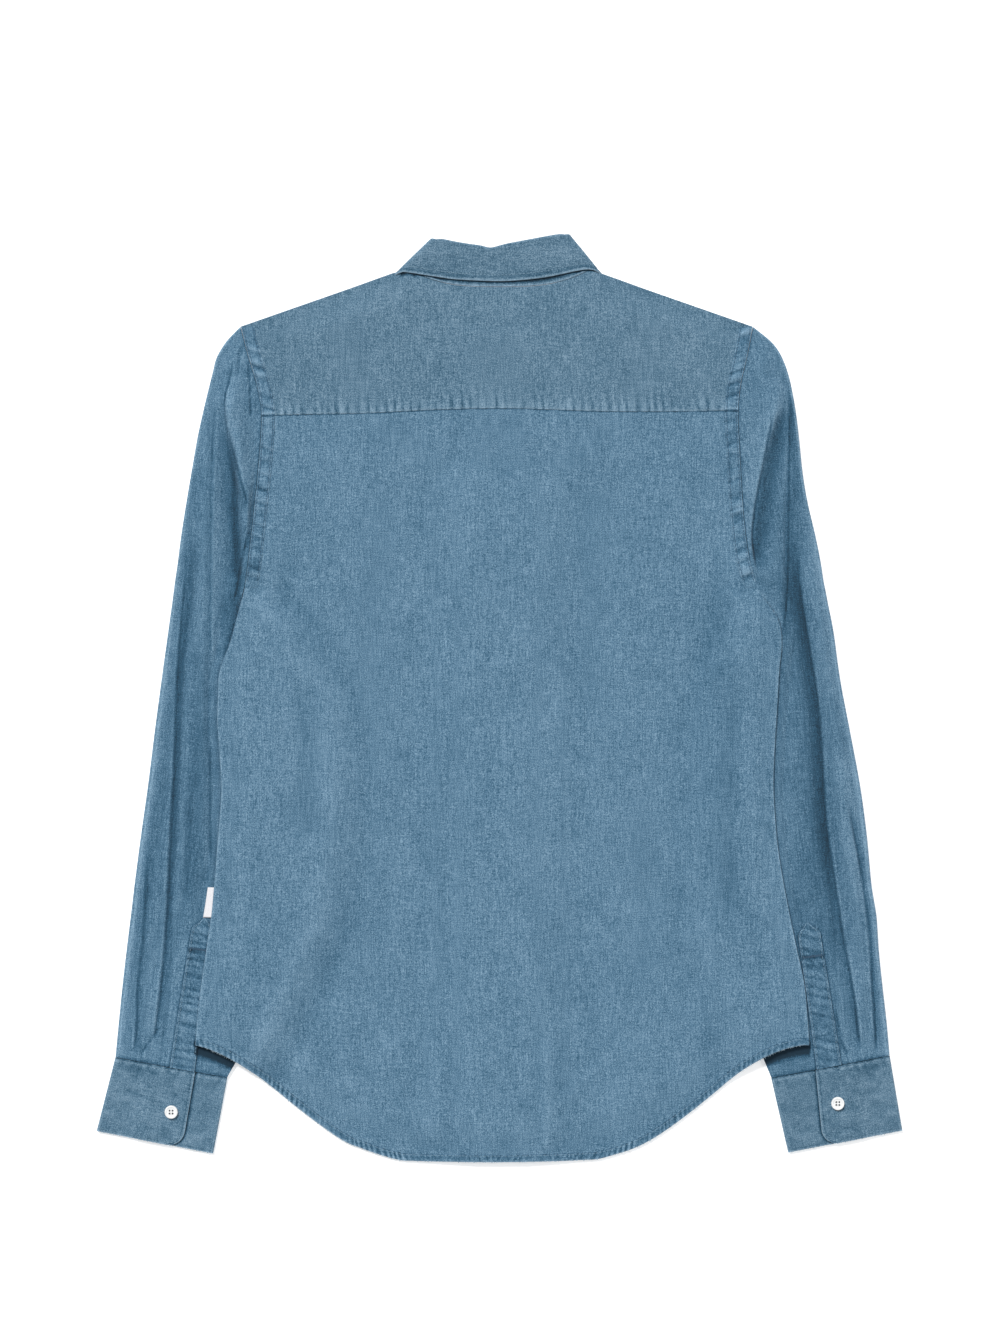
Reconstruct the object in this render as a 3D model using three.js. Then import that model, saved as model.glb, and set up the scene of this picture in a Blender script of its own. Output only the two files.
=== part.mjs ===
// Denim shirt with a collar, yoke, long sleeves and buttoned cuffs, laid flat and face down, so its back
// is on top. Millimetres: X runs across the shirt, Y from the hem to the collar and Z up from the surface
// that it lies on. Left and right are the wearer's, which are also the viewer's from above.
import * as THREE from "three";
import { mergeVertices } from "three/addons/utils/BufferGeometryUtils.js";

// Cloth, seams and layers
const CLOTH = 1.0; // one panel's wall
const BAND = 1.2; // the wall of the collar leaf, the cuffs and the front placket, which are sewn double
const SEAM = 0.3; // between two pieces that are sewn together
const LAYER = CLOTH + SEAM; // from one panel to the next one above it
const FELL_WIDTH = 10; // flat-felled seam round each armhole
const HEM_WIDTH = 6;
const RAISED = 0.5; // how far felled seams, the yoke's edge and the hem stand above their panel

// Body, flat
const HEM_LOW = -370.8; // middle of the shirt tail
const HEM_HIGH = -281; // where the side seams end
const HEM_FLAT = 78; // half the straight middle of the tail
const HEM_CORNER = 243; // half the width at the side seams' ends
const FRONT_HEM_SHORTER = 6; // the fronts end this far above the back
const YOKE_SEAM = 228.5;
const SHOULDER_TIP = 296.4;
const SHOULDER_SLOPE = 0.349;

// Half widths of the body from the shoulder tips down the armholes and side seams. The rows down to the
// armpit are also the corners of the armhole seams, on both sides of each seam.
const BODY_EDGE = [
  { y: 296.4, left: 207, right: 202.5 },
  { y: 290, left: 205.2, right: 201.2 },
  { y: 281, left: 203, right: 199.6 },
  { y: 268, left: 199.3, right: 196.8 },
  { y: 254, left: 195, right: 193.5 },
  { y: 241, left: 192, right: 191.6 },
  { y: 228.5, left: 190.2, right: 190.7 },
  { y: 212, left: 190.6, right: 191.2 },
  { y: 194, left: 191.9, right: 192.2 },
  { y: 172, left: 193.9, right: 193.4 },
  { y: 150, left: 196.3, right: 194.8 },
  { y: 126, left: 198.8, right: 197.2 },
  { y: 108, left: 200.7, right: 200 },
  { y: 96, left: 202.3, right: 203.6 },
  { y: 88, left: 203.6, right: 206.3 },
  { y: 80, left: 205.5, right: 209.5 },
  { y: 60, left: 210.6, right: 222.4 },
  { y: 42, left: 215.5, right: 225.5 },
  { y: 20, left: 223.5, right: 223.6 },
  { y: 0, left: 224.8, right: 222.4 },
  { y: -20, left: 225.2, right: 221.2 },
  { y: -46, left: 223.4, right: 219.6 },
  { y: -73, left: 222, right: 218.8 },
  { y: -97, left: 223.3, right: 220 },
  { y: -120, left: 225.2, right: 222 },
  { y: -148, left: 227.4, right: 226.2 },
  { y: -176, left: 230, right: 231.5 },
  { y: -204, left: 234, right: 237.3 },
  { y: -232, left: 238, right: 243.3 },
  { y: -260, left: 241.3, right: 246 },
  { y: -281, left: 242.8, right: 247.5 },
];
const ARMPIT_ROW = 15; // rows of BODY_EDGE down to this one follow the armhole

// Sleeves. Each row runs from the outer fold to the next corner of the armhole, and below the armpit to
// the underarm fold, which lies under the body. Each has its ends, and how far from the outer fold the
// line of the cuff's slit is.
const SLEEVE_LEFT = [
  { outerX: 208, outerY: 295.9, slit: 2.6 },
  { outerX: 217.2, outerY: 286, slit: 6.6 },
  { outerX: 222.8, outerY: 278, slit: 11 },
  { outerX: 226.8, outerY: 270, slit: 16 },
  { outerX: 229.6, outerY: 258.5, slit: 19.5 },
  { outerX: 232.9, outerY: 245.5, slit: 22 },
  { outerX: 236.8, outerY: 229, slit: 24 },
  { outerX: 241.2, outerY: 209, slit: 26 },
  { outerX: 245.6, outerY: 184, slit: 28 },
  { outerX: 250, outerY: 158, slit: 30 },
  { outerX: 254.4, outerY: 130, slit: 32 },
  { outerX: 257.2, outerY: 108, slit: 34 },
  { outerX: 259.4, outerY: 93, slit: 35 },
  { outerX: 260.7, outerY: 83, slit: 36 },
  { outerX: 261.9, outerY: 74, slit: 37 },
  { outerX: 265.1, outerY: 51, innerX: 186, innerY: 56, slit: 39 },
  { outerX: 270.2, outerY: 14, innerX: 163, innerY: 18, slit: 43 },
  { outerX: 275.5, outerY: -26, innerX: 150, innerY: -25, slit: 46 },
  { outerX: 281, outerY: -70, innerX: 145, innerY: -72, slit: 50 },
  { outerX: 286.6, outerY: -110, innerX: 147, innerY: -115, slit: 53 },
  { outerX: 291.2, outerY: -145, innerX: 153, innerY: -154, slit: 55.5 },
  { outerX: 293.9, outerY: -167.5, innerX: 161, innerY: -187.5, slit: 59.1 },
  { outerX: 295, outerY: -176.5, innerX: 166, innerY: -197, slit: 58.9 },
  { outerX: 297.9, outerY: -200, innerX: 175, innerY: -219, slit: 58.3 },
  { outerX: 301.2, outerY: -228.5, innerX: 188, innerY: -247, slit: 57.4 },
  { outerX: 304.2, outerY: -258, innerX: 202, innerY: -276, slit: 56 },
  { outerX: 307, outerY: -287.3, innerX: 217.6, innerY: -303.7, slit: 54.4 },
];
const SLEEVE_RIGHT = [
  { outerX: 203.6, outerY: 295.9, slit: 2.6 },
  { outerX: 215.6, outerY: 286, slit: 7.6 },
  { outerX: 222, outerY: 278.8, slit: 12.5 },
  { outerX: 226.8, outerY: 270, slit: 17 },
  { outerX: 230.9, outerY: 258.5, slit: 20.5 },
  { outerX: 233.9, outerY: 245.5, slit: 22.5 },
  { outerX: 236.8, outerY: 229, slit: 24 },
  { outerX: 239.3, outerY: 209, slit: 25 },
  { outerX: 242.3, outerY: 180, slit: 26 },
  { outerX: 246.3, outerY: 156, slit: 28 },
  { outerX: 252.4, outerY: 130, slit: 31 },
  { outerX: 256.6, outerY: 109, slit: 33 },
  { outerX: 258.9, outerY: 94, slit: 34 },
  { outerX: 260.9, outerY: 84, slit: 35 },
  { outerX: 262.6, outerY: 75, slit: 36 },
  { outerX: 267.1, outerY: 52, innerX: 205, innerY: 56, slit: 36 },
  { outerX: 272.4, outerY: 14, innerX: 194, innerY: 18, slit: 37 },
  { outerX: 280, outerY: -26, innerX: 187, innerY: -25, slit: 40 },
  { outerX: 288.2, outerY: -70, innerX: 184, innerY: -72, slit: 45 },
  { outerX: 293.6, outerY: -110, innerX: 182, innerY: -115, slit: 49 },
  { outerX: 297.2, outerY: -148, innerX: 182, innerY: -157, slit: 52 },
  { outerX: 300.8, outerY: -170.5, innerX: 183, innerY: -190.5, slit: 55.8 },
  { outerX: 301.8, outerY: -179.5, innerX: 186, innerY: -200, slit: 55.4 },
  { outerX: 303.4, outerY: -204, innerX: 191, innerY: -222, slit: 53.3 },
  { outerX: 306.2, outerY: -231, innerX: 198, innerY: -250, slit: 52 },
  { outerX: 309.4, outerY: -259, innerX: 206.5, innerY: -277.5, slit: 51 },
  { outerX: 311.8, outerY: -286, innerX: 217.2, innerY: -303.9, slit: 49.4 },
];
const TOWER_ROW = 21; // the row at the tip of the pointed band, which is full width at the next row

// How the layers lie
const SLEEVE_LIFT = 5.4; // the body's side above the surface, where the sleeve lies under it
const SLEEVE_TUCKED = 3.6; // the sleeve's height where it lies under the body
const SLEEVE_EDGE = 3.0; // height of the sleeve's outer fold
const SLEEVE_PUFF = 2.6; // how much higher the middle of a sleeve stands
const ARMPIT = 95;
const RAMP = 11; // the body climbs over the sleeve in this distance below and above the armpit
const BODY_LOFT = 1.5; // air between the fronts and the back
const BODY_LOFT_LEAST = 0.4;
const NECK_LIFT = 2.3; // the fronts lie this high on the collar's points
const NECK_REACH = 92; // radius of the collar's points round the neck
const NECK_CENTRE = 300;
const NECK_BACK_LIFT = 3.2; // the back is held up this far at the neck

// Front placket, its band on the right front, and its buttons
const PLACKET_HALF = 13;
const PLACKET_LIFT = 2.3;
const BUTTON_STAND = 10; // how far the left front reaches past the middle
const UNDER_LIFT = PLACKET_LIFT + BAND + SEAM;
const BUTTON_RADIUS = 5.25;
const BUTTON_HEIGHT = 2.0;
const FRONT_BUTTONS = 7;
const FIRST_BUTTON = 215;
const BUTTON_SPACING = 77;
const STAND_BUTTON = 274;

// Collar, flat: half widths and heights of its seam, its fold and its free edge
const NECK_HALF = 73.5;
const NECK_SIDE = 342.6;
const NECK_BACK = 328;
const NECK_DROP = 80.6;
const FOLD_HALF_LEFT = 54;
const FOLD_HALF_RIGHT = 55.5;
const STAND_SHORT = 0.2; // the stand ends this far short of the fold's inside
const STAND_DROP = 76;
const STAND_FOLD_HALF = 52.4;
const STAND_FOLD_SIDE = 362.7;
const LEAF_EDGE_HALF = 81.5;
const LEAF_EDGE_SIDE = 340;
const FRONT_FOLD = 287; // the leaf's fold at the middle of the front
const FOLD_ROUND = 1.7; // the fold's outer radius
const COLLAR_DIP = 3.6;
const LEAF_TOP = 7.4; // height of the folded collar
const STAND_TOP = 5.9;
const STAND_BOTTOM = 2.3;
const COLLAR_POINT_X = 48;
const COLLAR_POINT_Y = 232;
const LEAF_OPENING = 3; // half the gap between the leaf's ends at the front
// The back fold of the collar, which dips in the middle
const FOLD_LINE = [
  { x: -54, y: 366.2 },
  { x: -45, y: 366 },
  { x: -22, y: 362 },
  { x: -7, y: 359 },
  { x: 12, y: 363.2 },
  { x: 35, y: 367.8 },
  { x: 51, y: 371 },
  { x: 55.5, y: 370.2 },
];

// The leaf's free edge across the back
const LEAF_EDGE = [
  { x: -81, y: 340 },
  { x: -71, y: 338.8 },
  { x: -62, y: 336.4 },
  { x: -49.7, y: 334.6 },
  { x: -34.4, y: 333 },
  { x: 0, y: 332.2 },
  { x: 18.8, y: 333 },
  { x: 37.2, y: 334.8 },
  { x: 49.2, y: 337.3 },
  { x: 61.6, y: 339.8 },
  { x: 70.8, y: 341 },
  { x: 80, y: 338.4 },
];

// Cuffs: corners of each flat cuff, how far across its overlap ends, and its button
const CUFF_LEFT = {
  outerTop: [-307.1, -287.7],
  innerTop: [-217.5, -304.1],
  innerBottom: [-228.8, -364.4],
  outerBottom: [-322, -346.4],
  overlap: 0.7,
  overlapGrows: 0.05,
  button: [-262, -330.8],
};
const CUFF_RIGHT = {
  outerTop: [311.9, -286.4],
  innerTop: [217.2, -304.3],
  innerBottom: [230.7, -363.6],
  outerBottom: [322, -346],
  overlap: 0.65,
  overlapGrows: 0.045,
  button: [270, -324],
};
const CUFF_DEPTH = 61;
const CUFF_WIDTH = 93;
const CUFF_CORNER = 13; // radius of the overlap's corner
const CUFF_LOW = 3.3; // height of the cuff where two walls lie on each other
const CUFF_HIGH = CUFF_LOW + BAND + SEAM;
const UNDERLAP_START = 0.5;

// Pointed bands along the sleeves' slits
const TOWER_TIP = 1.6; // the tip is cut off this wide
const TOWER_WIDTH = 17;
const TOWER_END_WIDTH = 20;

// Side label: a blank folded tab in the left side seam
const LABEL = { top: -151.5, bottom: -175.5, reachTop: 5, reachBottom: 6.5, wall: 1.0 };

// Largest folds. A path in plan, its height (below 0 for a trough) and how far it spreads to each side of
// the path: left and right as seen by someone who walks along it from its first point
const SLEEVE_FOLDS = [
  {
    side: -1, height: 3.2, left: 9, right: 6,
    path: [[-218, 262], [-213, 222], [-203, 165], [-201, 118]],
  },
  {
    side: -1, height: -2.6, left: 7, right: 9,
    path: [[-221, 240], [-218, 185], [-213, 130], [-213, 92], [-222, 40]],
  },
  {
    side: -1, height: -2.2, left: 5, right: 9,
    path: [[-244, 160], [-252, 100], [-259, 20], [-262, -60], [-266, -150], [-273, -250]],
  },
  {
    side: -1, height: -1.6, left: 6, right: 6,
    path: [[-268, -30], [-277, -120], [-286, -190], [-291, -280]],
  },
  {
    side: -1, height: 1.8, left: 7, right: 8,
    path: [[-232, 230], [-233, 120], [-235, 0], [-234, -100], [-236, -160]],
  },
  {
    side: 1, height: 2.6, left: 6, right: 9,
    path: [[222, 262], [220, 225], [210, 170], [203, 118]],
  },
  {
    side: 1, height: -2.6, left: 9, right: 6,
    path: [[226, 232], [215, 180], [209, 130], [207, 100]],
  },
  {
    side: 1, height: -2.8, left: 9, right: 11,
    path: [[232, 215], [234, 150], [238, 100], [247, 50], [258, -10], [264, -90], [275, -170], [284, -250]],
  },
  {
    side: 1, height: 1.6, left: 7, right: 7,
    path: [[246, 150], [258, 60], [270, -30], [282, -110], [291, -180], [297, -270]],
  },
  {
    side: 1, height: -1.8, left: 5, right: 6,
    path: [[276, -75], [288, -120], [294, -170], [299, -230], [301, -282]],
  },
];
const BODY_FOLDS = [
  { side: 0, height: -1.1, left: 12, right: 16, path: [[184, 20], [185, -40], [184, -120], [181, -190]] },
  { side: 0, height: -1.1, left: 14, right: 14, path: [[-148, 30], [-152, -30], [-152, -80], [-148, -122]] },
  { side: 0, height: 0.9, left: 7, right: 5, path: [[37, -268], [38, -310], [38, -366]] },
  { side: 0, height: 0.7, left: 8, right: 8, path: [[-56, -262], [-52, -300], [-53, -362]] },
  { side: 0, height: 0.6, left: 8, right: 10, path: [[-128, -230], [-126, -270], [-121, -320]] },
];

// Facets
const BACK_COLUMNS = 19;
const NECK_COLUMNS = 13;
const FRONT_SIDE_COLUMNS = 8;
const SLEEVE_INNER_COLUMNS = 8;
const SLEEVE_OUTER_COLUMNS = 4;
const SLEEVE_UNDER_COLUMNS = 5;
const FOLD_STEPS = 4;
const PLACKET_ROWS = 20;
const BUTTON_SEGMENTS = 12;

// Colours from the cloth: washed indigo over a pale weft, pearly buttons and a white label
const denim = new THREE.MeshStandardMaterial({ name: "denim", color: 0x62859e, roughness: 0.95, metalness: 0 });
const pearl = new THREE.MeshStandardMaterial({ name: "pearl", color: 0xe6e8e6, roughness: 0.3, metalness: 0 });
const ribbon = new THREE.MeshStandardMaterial({ name: "ribbon", color: 0xe4e5ee, roughness: 0.8 });

const { clamp, lerp } = THREE.MathUtils;
const smooth = (t) => clamp(t, 0, 1) ** 2 * (3 - 2 * clamp(t, 0, 1));
function spread(count, from = 0, to = 1) {
  return Array.from({ length: count }, (_, i) => lerp(from, to, i / (count - 1)));
}

// A smooth curve through the rows of a table: its value in one column where another column has the given
// value.
function through(rows, key, column, at) {
  const last = rows.length - 1;
  const way = Math.sign(rows[last][key] - rows[0][key]);
  let i = 0;
  while (i < last - 1 && way * rows[i + 1][key] < way * at) i++;
  const slope = (n) => {
    const before = rows[Math.max(n - 1, 0)];
    const after = rows[Math.min(n + 1, last)];
    return (after[column] - before[column]) / (after[key] - before[key]);
  };
  const span = rows[i + 1][key] - rows[i][key];
  const t = clamp((at - rows[i][key]) / span, 0, 1);
  const bend = t * (1 - t) * span;
  const along = lerp(rows[i][column], rows[i + 1][column], t * t * (3 - 2 * t));
  return along + bend * ((1 - t) * slope(i) - t * slope(i + 1));
}

// A closed wall between two grids of points of the same size, outer[row][column] and inner[row][column].
function wall(outer, inner) {
  const rows = outer.length;
  const columns = outer[0].length;
  const points = [...outer.flat(), ...inner.flat()];
  const at = (layer, r, c) => layer * rows * columns + r * columns + c;
  const triangles = [];
  const quad = (a, b, c, d) => triangles.push(a, b, c, a, c, d);
  for (let r = 0; r < rows - 1; r++) {
    for (let c = 0; c < columns - 1; c++) {
      quad(at(0, r, c), at(0, r, c + 1), at(0, r + 1, c + 1), at(0, r + 1, c));
      quad(at(1, r, c), at(1, r + 1, c), at(1, r + 1, c + 1), at(1, r, c + 1));
    }
  }
  for (let r = 0; r < rows - 1; r++) {
    quad(at(0, r, 0), at(0, r + 1, 0), at(1, r + 1, 0), at(1, r, 0));
    const c = columns - 1;
    quad(at(0, r + 1, c), at(0, r, c), at(1, r, c), at(1, r + 1, c));
  }
  for (let c = 0; c < columns - 1; c++) {
    quad(at(0, 0, c + 1), at(0, 0, c), at(1, 0, c), at(1, 0, c + 1));
    quad(at(0, rows - 1, c), at(0, rows - 1, c + 1), at(1, rows - 1, c + 1), at(1, rows - 1, c));
  }
  const volume = triangles.reduce((sum, _, i) => {
    if (i % 3) return sum;
    const [a, b, c] = triangles.slice(i, i + 3).map((n) => points[n]);
    return sum + a.dot(b.clone().cross(c));
  }, 0);
  if (volume < 0) triangles.reverse();
  const geometry = new THREE.BufferGeometry();
  geometry.setAttribute("position", new THREE.Float32BufferAttribute(points.flatMap((p) => p.toArray()), 3));
  geometry.setIndex(triangles);
  return geometry;
}

// A wall that lies flat: plan[row][column] is [x, y], and low and high give its two faces' heights there.
function layer(plan, low, high) {
  const lift = (height) => plan.map((row) => row.map(([x, y]) => new THREE.Vector3(x, y, height(x, y))));
  return wall(lift(high), lift(low));
}

// Plan of the body
const edgeX = (side, y) => side * through(BODY_EDGE, "y", side < 0 ? "left" : "right", y);
// The shoulders dip a little where the collar goes round them.
function shoulderY(x) {
  const fromTip = Math.abs(edgeX(Math.sign(x) || 1, SHOULDER_TIP)) - Math.abs(x);
  return SHOULDER_TIP + fromTip * SHOULDER_SLOPE - COLLAR_DIP * smooth((89 - Math.abs(x)) / 7);
}
function hemY(x) {
  const t = clamp((Math.abs(x) - HEM_FLAT) / (HEM_CORNER - HEM_FLAT), 0, 1);
  return lerp(HEM_LOW, HEM_HIGH, 0.75 * smooth(t) + 0.25 * t);
}
const neckBackY = (x) => NECK_BACK - SEAM + (NECK_SIDE - NECK_BACK) * (Math.abs(x) / NECK_HALF) ** 3;
const neckWide = NECK_HALF + SEAM;
function neckFrontY(x) {
  return NECK_SIDE - (NECK_DROP + SEAM) * Math.sqrt(Math.max(0, 1 - (x / neckWide) ** 2));
}

// Height of a set of folds at a point in plan
function foldHeight(folds, side, x, y) {
  let sum = 0;
  for (const fold of folds) {
    if (fold.side !== side) continue;
    let best = { distance: Infinity };
    const spans = fold.path.length - 1;
    for (let i = 0; i < spans; i++) {
      const [ax, ay] = fold.path[i];
      const [bx, by] = fold.path[i + 1];
      const length = Math.hypot(bx - ax, by - ay);
      const t = clamp(((x - ax) * (bx - ax) + (y - ay) * (by - ay)) / length ** 2, 0, 1);
      const distance = Math.hypot(x - lerp(ax, bx, t), y - lerp(ay, by, t));
      const onLeft = (bx - ax) * (y - ay) - (by - ay) * (x - ax) > 0;
      if (distance < best.distance) best = { distance, onLeft, along: (i + t) / spans };
    }
    const reach = best.onLeft ? fold.left : fold.right;
    const fade = smooth(best.along / 0.2) * smooth((1 - best.along) / 0.15);
    sum += fold.height * fade * Math.exp(-((best.distance / reach) ** 2));
  }
  return sum;
}

// Where the sleeve's underarm fold lies under the body, as a half width, and how far the body has climbed
// over it
function withArmhole(rows, key) {
  const corner = (i) => ({ innerX: BODY_EDGE[i + 1][key], innerY: BODY_EDGE[i + 1].y });
  return rows.map((row, i) => (i < ARMPIT_ROW ? { ...row, ...corner(i) } : row));
}
const leftRows = withArmhole(SLEEVE_LEFT, "left");
const rightRows = withArmhole(SLEEVE_RIGHT, "right");
const sleeveRows = (side) => (side < 0 ? leftRows : rightRows);
const underarmX = (side, y) => through(sleeveRows(side), "innerY", "innerX", y);
const climb = (y, wider) => smooth((ARMPIT + RAMP + wider - y) / (2 * RAMP + wider));
function sideLift(x, y, width, wider) {
  const side = Math.sign(x) || 1;
  const beyond = underarmX(side, Math.min(y, ARMPIT - RAMP)) - 4 - Math.abs(x);
  const atEdge = Math.abs(edgeX(side, ARMPIT - RAMP)) - Math.abs(x);
  const past = y > ARMPIT - RAMP ? atEdge : beyond;
  return SLEEVE_LIFT * climb(y, wider) * smooth(1 - past / width);
}

// Height of the underside of the fronts, which rest on the surface between the sleeves, the placket and
// the collar
function centreLift(x) {
  const lift = x < BUTTON_STAND + 1 ? UNDER_LIFT : PLACKET_LIFT;
  return lift * smooth(1 - (Math.abs(x) - PLACKET_HALF - 1) / 32);
}
const neckDistance = (x, y) => Math.hypot(x, y - NECK_CENTRE) - NECK_REACH;
function frontLow(x, y) {
  const neck = NECK_LIFT * smooth(1 - neckDistance(x, y) / 35);
  return Math.max(centreLift(x), neck) + sideLift(x, y, 26, 0);
}
const frontHigh = (x, y) => frontLow(x, y) + CLOTH;

// Height of the underside of the back and yoke. They span the hollows between the places that hold the
// fronts up, and come down onto the fronts along the shoulders and side seams.
function backLow(x, y) {
  const side = Math.sign(x) || 1;
  const belowNeck = 1 - smooth((y - FRONT_FOLD - 3) / 30);
  const centre = UNDER_LIFT * smooth(1 - (Math.abs(x) - PLACKET_HALF - 1) / 60) * belowNeck;
  const neck = NECK_BACK_LIFT * smooth(1 - neckDistance(x, y) / 75);
  const held = Math.max(centre, neck) + sideLift(x, y, 40, 45);
  const fromShoulder = smooth((shoulderY(x) - y) / 26);
  const shoulder = lerp(1, fromShoulder, smooth((Math.abs(x) - NECK_HALF) / 12));
  const fromSide = Math.abs(edgeX(side, y)) - Math.abs(x);
  const seam = lerp(1, smooth(fromSide / 24), climb(y, 0));
  const hem = smooth((y - hemY(x)) / 40);
  const puffed = BODY_LOFT * hem * smooth(neckDistance(x, y) / 60);
  const loft = Math.max(BODY_LOFT_LEAST, puffed + foldHeight(BODY_FOLDS, 0, x, y));
  return frontLow(x, y) + LAYER + Math.max(0, held - frontLow(x, y) + loft) * shoulder * seam;
}
// Outside of the back, with its hem and felled armhole seams standing up a little
function felled(x, y) {
  const fromEdge = Math.abs(edgeX(Math.sign(x) || 1, y)) - Math.abs(x);
  return y > ARMPIT - 5 && fromEdge < FELL_WIDTH + 0.1 ? RAISED : 0;
}
const hemmed = (x, y) => (y - hemY(x) < HEM_WIDTH + 0.2 ? RAISED : 0);
const backHigh = (x, y) => backLow(x, y) + CLOTH + Math.max(felled(x, y), hemmed(x, y));
const yokeHigh = (x, y) => backLow(x, y) + CLOTH + Math.max(felled(x, y), y < YOKE_SEAM + 8 ? RAISED : 0);

// Side heights of the rows of a panel, as shares of its length from top to bottom
function rowsFrom(top) {
  const shares = BODY_EDGE.map((row) => (top - row.y) / (top - HEM_HIGH));
  return shares.filter((v) => v > 0.004 && v < 0.975);
}

// Columns across the back, closer together near its sides, with two at the inner edge of each felled seam
const fell = FELL_WIDTH / 382;
const bunching = (0.5 - 2.2 * fell) / Math.sin(1.15);
const bunched = spread(BACK_COLUMNS, -1.15, 1.15).map((a) => 0.5 + bunching * Math.sin(a));
const acrossBack = [0, fell, fell + 0.001, ...bunched, 0.999 - fell, 1 - fell, 1];
const insideEdge = (side, y) => edgeX(side, y) - side * SEAM * 0.5;

function backPanel() {
  const top = YOKE_SEAM - SEAM * 0.5;
  const hemRow = 1 - HEM_WIDTH / (YOKE_SEAM - HEM_LOW);
  const plan = [0, ...rowsFrom(top), 0.979, hemRow - 0.0006, hemRow, 1].map((v) => {
    const sideY = lerp(top, HEM_HIGH, v);
    return acrossBack.map((u) => {
      const across = (y) => lerp(insideEdge(-1, y), insideEdge(1, y), u);
      return [across(sideY), lerp(top, hemY(across(HEM_HIGH)), v)];
    });
  });
  return layer(plan, backLow, backHigh);
}

const neckColumns = spread(NECK_COLUMNS, -NECK_HALF, NECK_HALF);
function yokePanel() {
  const bottom = YOKE_SEAM + SEAM * 0.5;
  const rows = BODY_EDGE.filter((row) => row.y > YOKE_SEAM + 1).map((row) => row.y);
  const plan = [...rows, YOKE_SEAM + 8.4, YOKE_SEAM + 8, bottom].map((sideY) => {
    const v = (SHOULDER_TIP - sideY) / (SHOULDER_TIP - bottom);
    const left = insideEdge(-1, sideY);
    const right = insideEdge(1, sideY);
    const sides = [0, FELL_WIDTH, FELL_WIDTH + 0.4, 40, 80];
    const columns = [
      ...sides.map((d) => left + d),
      -84,
      ...neckColumns,
      84,
      ...sides.map((d) => right - d).reverse(),
    ];
    return columns.map((x) => [x, lerp(Math.abs(x) > NECK_HALF ? shoulderY(x) : neckBackY(x), bottom, v)]);
  });
  return layer(plan, backLow, yokeHigh);
}

// A front: its neckline has the same corners as the collar stand's seam
const NECK_ANGLES = [-8, 1.5, 10.8, 25, 40, 56, 73, 90].map((a) => THREE.MathUtils.degToRad(a));
function frontPanel(side) {
  const centre = side < 0 ? BUTTON_STAND : PLACKET_HALF + SEAM;
  const tip = insideEdge(side, SHOULDER_TIP);
  const neck = NECK_ANGLES.filter((a) => side < 0 || a > 0.18).map((a) => side * neckWide * Math.sin(a));
  const starts = [...neck, ...spread(FRONT_SIDE_COLUMNS, side * 84, tip)];
  starts[0] = centre;
  const plan = [0, ...rowsFrom(SHOULDER_TIP), 1].map((v) =>
    starts.map((start) => {
      const across = (y) => lerp(centre, insideEdge(side, y), (start - centre) / (tip - centre));
      const top = Math.abs(start) < neckWide - 0.01 ? neckFrontY(start) : shoulderY(start);
      const low = across(HEM_HIGH);
      const bottom = hemY(low) + FRONT_HEM_SHORTER * smooth((HEM_CORNER - Math.abs(low)) / 60);
      return [across(lerp(SHOULDER_TIP, HEM_HIGH, v)), lerp(top, bottom, v)];
    }),
  );
  return layer(plan, frontLow, frontHigh);
}

function placketBand() {
  const bottom = HEM_LOW + FRONT_HEM_SHORTER;
  const across = spread(3, -PLACKET_HALF, PLACKET_HALF);
  const row = (v) => across.map((x) => [x, lerp(neckFrontY(x) - SEAM, bottom, v)]);
  const plan = spread(PLACKET_ROWS).map(row);
  return layer(plan, () => PLACKET_LIFT, () => PLACKET_LIFT + BAND);
}

// Height of the upper wall of a sleeve
function sleeveHigh(side, x, y) {
  const rows = sleeveRows(side);
  const fromOuter = through(rows, "outerY", "outerX", y) - Math.abs(x);
  const fromBody = Math.abs(x) - Math.abs(edgeX(side, y));
  const fromUnderarm = Math.abs(x) - underarmX(side, y);
  const sewn = smooth((y - ARMPIT + RAMP - 2) / (RAMP - 2));
  const atSeam = backLow(edgeX(side, y), y) + CLOTH;
  const tucked = SLEEVE_TUCKED - (SLEEVE_TUCKED - 2 * CLOTH - SEAM) * smooth(1 - fromUnderarm / 12);
  const inner = lerp(tucked, atSeam, sewn);
  const nearCuff = smooth((y + 300) / 60);
  const seen = smooth((fromBody - 2) / 16);
  const puffed = SLEEVE_EDGE + SLEEVE_PUFF * smooth(fromOuter / 24) * (0.35 + 0.65 * nearCuff);
  const folds = foldHeight(SLEEVE_FOLDS, side, x, y) * smooth(fromOuter / 10) * (0.5 + 0.5 * nearCuff);
  const foldsSeen = lerp(smooth(fromBody / 10), smooth(fromBody / 5), sewn);
  return Math.max(lerp(inner, puffed, seen) + folds * foldsSeen, 2 * CLOTH + SEAM);
}

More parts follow.
